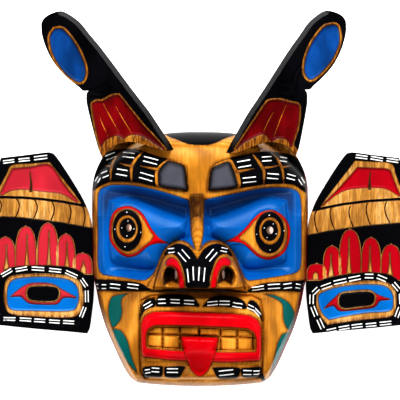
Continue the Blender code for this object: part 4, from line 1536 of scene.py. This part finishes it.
LEFT_WING = WingDrawing(
    panel=[
        (48, 162), (28, 163.5), (10, 165), (5, 173), (-2, 186), (-9, 197.5), (0, 197), (20, 197.5),
        (40, 199), (60, 201.5), (80, 205),
    ],
    trapeze=[
        (10, 168.5), (28, 166.8), (48, 165), (62, 184), (77, 203), (66, 197), (60, 194),
        (55, 193), (40, 191.5), (28, 190), (20, 189.5), (8, 191), (-2, 195.5), (3, 183),
    ],
    crack=[(28, 172), (29, 182), (29, 190.5)],
    band_top=[
        (-20, 198.5), (0, 197), (20, 197.5), (40, 199), (60, 201.5), (84, 206),
    ],
    band_bottom=[
        (-24, 218), (0, 216.5), (20, 217.5), (40, 220), (60, 222.5), (90, 228),
    ],
    arcs=[
        [(66, 203.5), (69, 211), (66.5, 223)], [(49, 201), (52.3, 209), (49, 220.5)],
        [(32, 199.5), (35.3, 207.5), (31.5, 218.5)], [(14, 198.5), (17.3, 206), (13.5, 217)],
        [(-4, 198), (-0.7, 206), (-4.5, 216.5)], [(-16, 199), (-13, 207), (-16.5, 217)],
        [(80, 206), (83, 214), (81.5, 226)],
    ],
    fingers=[
        (80.5, 253, 18), (64, 234, 17.5), (46, 223, 19.5), (24, 226.5, 19.5), (3.5, 237, 19),
        (-14, 248, 15),
    ],
    finger_foot=268.0,
    frame=[
        (2, 302), (2, 288), (6, 278), (16, 274.5), (40, 273.5), (64, 275), (75, 279),
        (80.5, 287), (82, 300), (79, 311), (72, 317), (55, 317.8), (30, 316.5), (12, 315),
        (5, 311),
    ],
    blue=[
        (4.8, 300), (5.5, 288), (10, 280.5), (20, 277.8), (40, 276.8), (60, 278.3),
        (70, 281.5), (75.5, 288), (77, 298), (75.5, 305), (71, 310.5), (55, 311.5), (30, 311),
        (12, 310.5), (6.5, 307),
    ],
    eye=[
        (8, 297), (15, 291), (22, 286), (30, 283.3), (45, 283.3), (53, 285), (59, 289),
        (66, 293), (75, 298), (66, 297.5), (60, 298.7), (57, 303), (52, 304.5), (40, 304.5),
        (28, 303.5), (23, 300.5), (19, 296.8), (14, 296.5),
    ],
    pupil=[
        (25, 293), (28, 287.3), (40, 286.3), (53, 287.3), (57, 292), (55, 299), (49, 301),
        (33, 300.5), (27, 298.5),
    ],
    dashes=[
        (1.5, 162, 12, 160.7, 2.4), (17, 160.2, 27.5, 159.2, 2.4), (32.5, 158.3, 45, 156.7, 3.0),
        (-12, 164, -3, 163, 2.4),
        (0, 275.5, 9.5, 270, 2.8), (14, 270.2, 25, 268.2, 2.8), (30, 268.4, 42, 269.2, 2.8),
        (47.5, 269.8, 59, 271, 2.8), (64, 271.8, 75, 276.8, 2.8), (79.5, 279.3, 84.5, 286.5, 2.8),
        (84.8, 291, 85, 302, 2.8), (82.8, 307.5, 79, 317, 2.8),
        (2, 319, 13, 319.2, 2.6), (18, 319.3, 29, 320, 2.6), (32.5, 320.3, 43, 321, 2.6),
        (47.5, 321.3, 57.5, 322, 2.6), (61.5, 322, 72, 322.6, 2.6),
        (-5, 279, -8, 287, 2.8), (-8.5, 291, -8.5, 301, 2.8), (-7.5, 306, -4, 315, 2.8),
    ],
)
RIGHT_WING = WingDrawing(
    panel=[
        (43, 160.5), (28, 161.5), (7, 163.5), (2, 175), (-4, 190), (-10, 199.3), (0, 199),
        (15, 200), (30, 201), (55, 204), (78, 208.5),
    ],
    trapeze=[
        (40.5, 167.3), (25, 168), (9, 169.5), (5, 178), (0, 190), (-2, 196.5), (8, 190.5),
        (15, 188.3), (28, 187.7), (43, 188.7), (52, 190.2), (62, 195), (77, 206.7), (58, 187),
    ],
    crack=[(27.5, 172), (28.3, 180), (28.5, 188.5)],
    band_top=[
        (-20, 200.5), (0, 199), (15, 200), (30, 201), (55, 204), (84, 210),
    ],
    band_bottom=[
        (-24, 224), (0, 223), (30, 225.5), (50, 228), (70, 231), (92, 235.5),
    ],
    arcs=[
        [(81.5, 211), (83.5, 219), (80.5, 232)], [(67, 208.5), (67.5, 218), (63, 230)],
        [(47.5, 206), (49, 214), (45, 226.5)], [(30.5, 203.5), (31.7, 212), (27.5, 225)],
        [(11.5, 202), (13, 211), (8, 223)], [(-7, 201.5), (-5.5, 210), (-10, 222.5)],
    ],
    fingers=[
        (81.5, 263.7, 18), (66, 246, 16.5), (48, 229.5, 20.5), (27, 237.7, 18.5),
        (7, 244.5, 19), (-12, 253, 16),
    ],
    finger_foot=274.0,
    frame=[
        (71, 325), (80.5, 312), (82, 300), (80, 292), (72, 287), (55, 283), (35, 280.7),
        (18, 281), (8, 284), (2.5, 291), (1, 300), (3, 311.5), (8, 317), (30, 319.5), (50, 322),
    ],
    blue=[
        (69, 320), (75.5, 314), (79.5, 303), (79, 295), (73, 291), (60, 287.2), (40, 284.7),
        (20, 284.7), (11, 287.3), (6, 293), (4.7, 301), (8, 311), (30, 313), (50, 316),
    ],
    eye=[
        (74, 309), (69, 303), (63, 297.5), (57, 292.7), (45, 290.6), (29, 290), (22, 293.8),
        (15, 297), (7, 299.5), (18, 301), (21, 305), (26, 308), (40, 309.8), (55, 311.3),
        (60.5, 310), (64, 306), (68, 306.5),
    ],
    pupil=[
        (59, 299), (56, 294), (45, 292.4), (30, 291.8), (24.3, 294.5), (23.7, 300), (27, 304.8),
        (40, 306.6), (53, 308.2), (58.5, 305),
    ],
    dashes=[
        (42, 156.1, 31, 157.6, 2.6), (27, 157.6, 15.5, 159.6, 2.6), (11, 159.6, 0, 161.2, 2.6),
        (-4, 161.6, -13, 162.9, 2.6),
        (33, 276, 25, 276.2, 3.6), (49, 279.6, 38, 277.4, 3.4), (64, 282.8, 52, 280.3, 3.4),
        (76.5, 288, 67, 284.5, 3.4), (84.6, 293, 80, 288.6, 3.4), (86.6, 304, 86.4, 295, 3.4),
        (82, 316, 85.6, 307, 3.4), (75.5, 328.5, 79.6, 319.5, 3.4), (62, 329.5, 71, 331.5, 2.8),
        (49, 327, 59, 328.6, 2.8), (36, 325.3, 46, 326.6, 2.8), (22, 324.4, 32, 325.4, 2.8),
        (7, 322.8, 18, 323.8, 2.8), (20.5, 276.6, 12, 280, 3.4), (4.5, 283.5, -1, 290, 3.2),
        (-3, 294, -3.5, 304, 3.2), (-2, 308, 1.5, 317, 3.2),
    ],
)


@dataclass
class Wing:
    """A carved side wing, butted against the straight side wall of the face."""

    node: str
    side: int
    drawing: WingDrawing
    face: Face
    lift: float = 24.0
    thickness: float = 16.0
    crown: float = 2.0
    carving: float = 2.5
    knife_depth: float = 0.6
    seat: float = -64.5
    gap: float = 0.3
    cut_half: float = 0.6
    scallop_reach: float = 3.2
    wood_rim: float = 0.9
    pupil_rim: float = 1.5
    frame_margin: float = 8.0
    columns: int = 171
    rows: int = 231
    inner: tuple = (
        (7, -71.5), (4.5, -66), (2.5, -52), (0.8, -36), (0, -14), (0, 6), (1, 22), (3, 39),
        (6, 50), (11, 62), (19, 76), (29, 92), (38, 105), (41.5, 108.8),
    )
    top: tuple = ((92, 104), (71, 106.5), (51, 109), (44, 109.7), (41.5, 108.8))
    outer: tuple = (
        (111, -62), (116.5, -30), (117, 0), (115, 30), (107, 62), (99, 86), (92, 104),
    )
    bottom: tuple = ((111, -62), (91, -63.5), (61, -66.5), (21, -70), (7, -71.5))
    photo_corner: tuple[float, float] = (91.0, 262.0)

    def grid(self) -> tuple[np.ndarray, np.ndarray]:
        """Places the wing's grid, whose inner edge keeps its gap to the face's side wall.

        Returns:
            The points' distances out from the edge at the face and up from the seat.
        """
        inner = smooth_line(self.inner, 90)
        wall = self.face.side(self.seat + inner[:, 1])
        nearest = self.face.side(np.array(self.seat)) + self.gap
        clear = np.maximum(nearest + inner[:, 0] - 1.2, wall + self.gap)
        inner[:, 0] = clear - nearest
        bottom, top = smooth_line(self.bottom, 60), smooth_line(self.top, 60)
        top[-1], bottom[-1] = inner[-1], inner[0]
        shares = np.linspace(0, 1, self.columns), np.linspace(0, 1, self.rows)
        return patch(smooth_line(self.outer, 90), inner, bottom, top, *shares)

    def painted(self, p: np.ndarray, q: np.ndarray) -> tuple[PaintMap, np.ndarray]:
        """Paints the wing's front.

        Args:
            p: The points' distances out from the edge at the face.
            q: The points' heights above the seat.

        Returns:
            The paint, and how deep the carving is, from 0 to 1.
        """
        drawing = self.drawing
        marks = PaintMap(self.photo_corner[0] - p, self.photo_corner[1] - q)
        marks.cover(Paint.BLACK, np.full(p.shape, FAR), carved=False)
        panel = marks.shape(None, drawing.panel)
        trapeze = marks.shape(Paint.RED, drawing.trapeze)
        marks.vein(Paint.BURNT_AND_SHADOW, drawing.crack, (0.2, 0.6, 1.3))

        top = follow(marks.x, drawing.band_top)
        bottom = follow(marks.x, drawing.band_bottom)
        band = np.minimum(marks.y - top - 1.2, bottom - marks.y)
        marks.cover(Paint.BLACK, np.minimum(marks.y - top + 1.2, 8), carved=False)
        marks.cover(None, band)
        scallop = np.zeros(p.shape)
        for arc in drawing.arcs:
            far = line_distance(bowed(arc, 16), marks.x, marks.y)
            marks.cover(Paint.BURNT_AND_SHADOW, np.minimum(self.cut_half - far, band), carved=False)
            scallop = np.maximum(scallop, np.clip(1 - far / self.scallop_reach, 0, 1))

        slots = np.full(p.shape, -FAR)
        fingers = np.full(p.shape, -FAR)
        seams = np.full(p.shape, -FAR)
        foot = drawing.finger_foot
        for centre, peak, width in drawing.fingers:
            half = 0.5 * width
            up = np.clip((foot + 6 - marks.y) / (foot + 6 - peak), 0, 1)
            arch = (half + 0.3) * np.sqrt(np.clip(1 - up**4.5, 0, 1)) - np.abs(marks.x - centre)
            outer = np.minimum(arch, np.minimum(marks.y - peak, foot + 6 - marks.y))
            both = (fingers > -self.wood_rim) & (outer > -self.wood_rim)
            seams = np.where(both, 0.8, seams)
            fingers = np.maximum(fingers, outer)
            inner_top = peak + 8
            flare = 0.45 + 2.2 * np.clip((marks.y - inner_top) / (foot - inner_top), 0, 1) ** 2.5
            slot = np.minimum(flare - np.abs(marks.x - centre - 1.0), marks.y - inner_top)
            slots = np.maximum(slots, slot)
        marks.cover(None, fingers + self.wood_rim, carved=False)
        marks.cover(Paint.RED, fingers)
        marks.cover(None, np.minimum(slots, fingers))
        marks.cover(None, seams, carved=False)
        # Darker wood round the fingers' edges and over the panel's top, and painted shade beside
        # the carved scallops.
        marks.stain_and_shade = 0.75 * ease(1 - np.abs(fingers) / 2) + 0.7 * scallop * (band > 0)
        marks.stain_and_shade = np.maximum(marks.stain_and_shade, 0.7 * ((panel > 0) & (marks.y < 186)))

        frame_depth = depth_in(ring(drawing.frame), marks.x, marks.y)
        marks.cover(Paint.BLACK, frame_depth + self.frame_margin)
        marks.cover(None, frame_depth)
        marks.stain_and_shade = np.where(frame_depth > 0, np.clip(1.2 - 0.25 * frame_depth, 0, 1),
                               marks.stain_and_shade)
        blue = marks.shape(Paint.BLUE, drawing.blue)
        eye = marks.shape(Paint.RED, drawing.eye)
        pupil = depth_in(ring(drawing.pupil), marks.x, marks.y)
        marks.cover(None, pupil + self.pupil_rim)
        marks.cover(Paint.BLACK, pupil)
        marks.dashes(drawing.dashes)

        cut = 0.9 * ease(trapeze / 2) + 0.25 * ease(panel / 1.5)
        cut = np.maximum(cut, 0.35 * scallop * (band > 0))
        cut = np.maximum(cut, 0.35 * ease(fingers / 1.5) + 0.6 * ease(slots / 1.0))
        margin = frame_depth + self.frame_margin
        cut = np.where(margin > 0, 0.15 * ease(margin / 2), cut)
        lens = dome(eye / 6)
        cut = np.where(frame_depth > 0, 0.5 * ease(frame_depth / 2), cut)
        cut = np.where(blue > 0, 0.5 + 0.5 * ease(blue / 2) - 0.9 * lens, cut)
        return marks, cut

    def make(self) -> bpy.types.Object:
        """Builds and paints the wing.

        Returns:
            The finished piece, on the face's own grid.
        """
        p, q = self.grid()
        nearest = self.face.side(np.array(self.seat)) + self.gap
        x = self.side * (nearest + p)
        y = self.seat + q
        marks, cut = self.painted(p, q)
        crown = self.crown * np.sin(math.pi * np.clip(p / 117, 0, 1))
        high = self.lift + self.thickness + crown - self.carving * cut
        high = high - marks.groove(self.knife_depth)
        under = np.full(x.shape, self.lift)
        return painted_plate(self.node, self.side, x, y, high, under, marks)


@dataclass(frozen=True)
class HornDrawing:
    """The painted shapes of one horn, in the photograph's pixels."""

    oval: Points
    panel: Points
    foot: Points
    grooves: list[Points]
    folds: list[Points]


LEFT_HORN = HornDrawing(
    oval=[
        (56, 31), (64, 31), (74, 42), (82, 56), (86.5, 69), (86, 79.5), (81, 83.5), (73, 80),
        (62, 69), (54, 54), (51.5, 39),
    ],
    panel=[
        (94, 104), (98, 102.2), (103, 102.2), (107, 100.3), (113, 97), (119, 96.5), (122, 99),
        (142, 124), (155, 138), (166, 151), (158, 146.5), (150, 141), (142, 137), (134, 135.5),
        (127, 137.3), (125, 140), (122, 138), (117.5, 136.5), (112, 138), (106, 141.5),
        (102, 147.5), (97, 130), (93.3, 107),
    ],
    foot=[
        (98, 149), (101, 146), (106, 140), (112, 136.5), (118, 135), (125, 137), (134, 134),
        (146, 137), (158, 145), (168, 152), (176, 158), (100, 170),
    ],
    grooves=[
        [(99.5, 114), (104, 126), (109.5, 136.5)], [(103.5, 103), (111, 117), (119.5, 132)],
        [(116.5, 107), (124, 120), (132.5, 134)],
    ],
    folds=[
        [(90, 91.5), (97, 90.5), (103, 88), (108, 84)],
        [(90, 92), (98, 93.5), (105, 94.5), (111, 91.5), (110, 86.5)],
        [(93, 99), (100, 98.5), (106, 96.5), (110, 93)],
    ],
)
RIGHT_HORN = HornDrawing(
    oval=[
        (330.5, 26.5), (335, 27.3), (337.3, 32), (338, 42), (335.2, 52), (330.5, 61.5),
        (323, 71), (315.5, 78),
        (309, 81), (304.5, 77), (303, 70), (304, 62), (308, 50), (315, 38), (323, 29),
    ],
    panel=[
        (270, 101.5), (278, 101), (285, 102.5), (291, 104), (296, 105), (298, 108), (298, 118),
        (296, 130), (292, 142), (290.5, 148), (286, 140.8), (280, 139), (275, 140), (271, 143),
        (268, 139.5), (263, 135), (257, 136.5), (250, 140), (243, 144), (235, 150.5),
        (242, 139), (250, 127), (258, 115), (266, 103.5),
    ],
    foot=[
        (234, 151), (243, 143), (250, 139), (257, 135.5), (263, 134), (268, 138), (271, 141.5),
        (275, 138.5), (281, 137.5), (287, 139.5), (294, 147), (300, 170), (226, 160),
    ],
    grooves=[[(273, 112), (268, 121), (262.5, 132.5)], [(286, 104), (279, 121), (273, 137)]],
    folds=[
        [(290, 86), (293, 76), (300, 66)], [(295, 90), (297, 80), (300.5, 72)],
        [(289, 85), (283, 83.5), (278, 86.5), (280, 91), (287, 92)],
        [(292, 99), (285, 98.5), (278, 96.5)],
    ],
)


@dataclass
class Horn:
    """A carved horn whose foot laps over the top of the face."""

    node: str
    side: int
    drawing: HornDrawing
    face: Face
    length: float = 164.0
    turn: float = 0.0
    height: float = 103.0
    thickness: float = 24.0
    side_width: float = 5.0
    side_rest: float = 4.0
    lean: float = 0.12
    carving: float = 3.0
    knife_depth: float = 0.5
    panel_rim: float = 1.8
    oval_rim: float = 2.6
    seat: tuple[float, float] = (26.0, 47.5)
    gap: float = 0.3
    steps: float = 164.0
    columns: int = 121
    rows: int = 221
    outer: tuple = (
        (70.5, -8), (74, 0), (77, 10), (81, 25), (84, 37), (86, 47), (86, 55), (84, 58.3),
        (90, 58.5), (94, 62), (104, 70), (114, 80), (121, 90), (126, 100), (130, 112),
        (131, 120), (131, 125),
    )
    inner: tuple = (
        (0, 0), (6, 10), (14, 22), (24, 37), (34, 50), (44, 63), (54, 76.5), (64, 90), (74, 103),
        (84, 115), (92, 125), (99, 131), (107, 136), (112, 137.5),
    )
    foot: tuple = (
        (70.5, -8), (62, 1.5), (54, 5.5), (44, 7.5), (34, 6), (24, 3), (14, 0), (7, -1.5), (0, 0),
    )
    tip: tuple = ((131, 125), (128, 130), (122, 134), (112, 137.5))

    def painted(self, x: np.ndarray, y: np.ndarray) -> tuple[PaintMap, np.ndarray]:
        """Paints the horn's front.

        Args:
            x: The points' distances to the right of the middle.
            y: The points' heights up the face.

        Returns:
            The paint, and how deep the carving is, from 0 to 1.
        """
        drawing = self.drawing
        marks = PaintMap(PHOTO_MIDDLE + x, PHOTO_LEVEL - y)
        marks.cover(Paint.BLACK, np.full(x.shape, FAR), carved=False)
        foot = depth_in(ring(drawing.foot), marks.x, marks.y)
        panel = depth_in(ring(drawing.panel, 120), marks.x, marks.y)
        marks.cover(None, np.maximum(foot, panel + self.panel_rim))
        marks.stain_and_shade = 0.8 + 0.2 * ease((foot + 1) / 2)
        marks.cover(Paint.RED, panel)
        fold = np.full(x.shape, FAR)
        for line in drawing.grooves:
            marks.vein(None, line, (0.15, 0.45, 0.2))
            far = line_distance(smooth_line(line, 16), marks.x, marks.y)
            marks.stain_and_shade[far < 1.3], marks.edge[far < 1.3] = 0.0, FAR
            fold = np.minimum(fold, far + 0.8)
        for line in drawing.folds:
            far = line_distance(smooth_line(line, 16), marks.x, marks.y)
            fold = np.minimum(fold, far)
        oval = depth_in(ring(drawing.oval), marks.x, marks.y)
        marks.cover(None, oval + self.oval_rim)
        marks.cover(Paint.BLUE, oval)
        cut = ease((oval + 1.5) / 4) + 0.6 * ease(panel / 2) + 0.7 * ease(1 - fold / 2.0)
        return marks, cut

    def make(self) -> bpy.types.Object:
        """Builds and paints the horn.

        Returns:
            The finished piece, on the face's own grid.
        """
        scale = self.length / self.steps
        outer, inner = smooth_line(self.outer, 110), smooth_line(self.inner, 110)
        foot, tip = smooth_line(self.foot, 60), smooth_line(self.tip, 60)
        shares = np.linspace(0, 1, self.columns), np.linspace(0, 1, self.rows)
        p, q = patch(outer, inner, foot, tip, *shares)
        angle = math.radians(self.turn)
        x = self.side * (self.seat[0] + scale * (p * math.cos(angle) - q * math.sin(angle)))
        y = self.seat[1] + scale * (q * math.cos(angle) + p * math.sin(angle))
        over = (np.abs(x) < self.face.side(y)) & (y < self.face.upper(x))
        skin = np.where(over, self.face.relief(x, y), 0.0)
        marks, cut = self.painted(x, y)
        high = self.height - self.lean * p * scale
        edge = 1 - line_distance(inner[::3], p, q) * scale / self.side_width
        under = np.maximum(high - self.thickness, skin + self.gap)
        bevel = (self.thickness - self.side_rest) * np.clip(edge, 0, 1)
        top = high - self.carving * cut - bevel
        top = np.maximum(top - marks.groove(self.knife_depth), under + 0.4)
        return painted_plate(self.node, self.side, x, y, top, under, marks)


@dataclass
class Studio:
    """The pale floor, the soft lights and the camera that looks down on the mask."""

    distance: float = 4.0
    focus_height: float = 0.045
    view_width: float = 0.400
    centre: tuple[float, float] = (0.0, -0.0025)
    ambient: float = 0.06
    floor_reach: float = 4.0
    floor_tone: float = 0.92
    floor_glow: float = 0.55

    def build(self, shift: np.ndarray) -> None:
        """Builds the stage.

        Args:
            shift: How far the mask was moved from its drawing to its frame, in metres.
        """
        self.floor()
        self.light("key", (0.0, 1.3, 1.4), 35.0, 1.1)
        self.light("left", (-1.4, 0.2, 1.1), 7.0, 0.8)
        self.light("right", (1.4, 0.2, 1.1), 7.0, 0.8)
        self.light("low", (0.0, -1.1, 1.4), 8.5, 0.8)
        world = bpy.data.worlds.new("pale_room")
        world.use_nodes = True
        world.node_tree.nodes["Background"].inputs["Color"].default_value = (1, 1, 1, 1)
        world.node_tree.nodes["Background"].inputs["Strength"].default_value = self.ambient
        bpy.context.scene.world = world
        data = bpy.data.cameras.new("camera")
        data.lens = data.sensor_width * self.distance / self.view_width
        camera = bpy.data.objects.new("camera", data)
        camera.location = (self.centre[0] + shift[0], self.centre[1] + shift[1],
                           self.distance + self.focus_height)
        bpy.context.scene.collection.objects.link(camera)
        bpy.context.scene.camera = camera
        bpy.context.scene.view_settings.view_transform = "Standard"
        bpy.context.scene.view_settings.look = "High Contrast"

    def floor(self) -> None:
        """Lays a pale floor under the mask."""
        corners = np.array([(-1, -1, 0), (1, -1, 0), (1, 1, 0), (-1, 1, 0)], float)
        floor = make_mesh("floor", corners * self.floor_reach, [[0, 1, 2, 3]])
        material = bpy.data.materials.new("pale_floor")
        material.use_nodes = True
        shader = material.node_tree.nodes["Principled BSDF"]
        shader.inputs["Base Color"].default_value = (*[self.floor_tone] * 3, 1)
        shader.inputs["Roughness"].default_value = 0.7
        shader.inputs["Emission Color"].default_value = (1, 1, 1, 1)
        shader.inputs["Emission Strength"].default_value = self.floor_glow
        floor.data.materials.append(material)

    def light(
        self, name: str, place: tuple[float, float, float], power: float, size: float,
    ) -> None:
        """Hangs a square soft light that faces the mask.

        Args:
            name: The light's name.
            place: Where it hangs, in metres.
            power: Its power in watts.
            size: The length of its side in metres.
        """
        data = bpy.data.lights.new(name, "AREA")
        data.energy = power
        data.size = size
        lamp = bpy.data.objects.new(name, data)
        x, y, z = place
        lamp.location = place
        lamp.rotation_euler = (math.atan2(math.hypot(x, y), z), 0, math.atan2(x, -y))
        bpy.context.scene.collection.objects.link(lamp)


def main() -> None:
    """Builds the mask's pieces, then the studio, in order."""
    logging.basicConfig(level=logging.INFO)
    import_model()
    face = Face()
    makers = [
        face,
        Wing("wing_left", -1, LEFT_WING, face),
        Wing("wing_right", 1, RIGHT_WING, face),
        Horn("horn_left", -1, LEFT_HORN, face),
        Horn("horn_right", 1, RIGHT_HORN, face, length=159.3, turn=4.1, seat=(26.0, 44.5)),
    ]
    low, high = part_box("face")
    shift = np.array([(low[0] + high[0]) / 2, low[1] - face.low * MM, 0.0])
    wing = Cedar("wing_cedar", light=(0.92, 0.60, 0.25), honey=(0.76, 0.40, 0.10),
                 blue=(0.0, 0.17, 0.50), red=(0.42, 0.003, 0.016))
    horn = Cedar("horn_cedar", brown=(0.13, 0.045, 0.010), blue=(0.006, 0.075, 0.26),
                 red=(0.16, 0.002, 0.005), mottle=0.4, black_gloss=0.01, blue_gloss=0.15)
    # The left wing's paint is a lit copy of the right's: its lighter, pinker red is a painted
    # sheen.
    left_wing_sheen = replace(wing, name="sheen_lit_wing_cedar", red=(0.50, 0.035, 0.055))
    finishes = [Cedar("face_cedar"), left_wing_sheen, wing, horn, replace(horn, name="right_horn_cedar")]
    for maker, finish in zip(makers, finishes):
        piece = maker.make()
        move(piece, shift)
        dress(piece, maker.node, finish)
    Studio().build(shift)


if __name__ == "__main__":
    main()
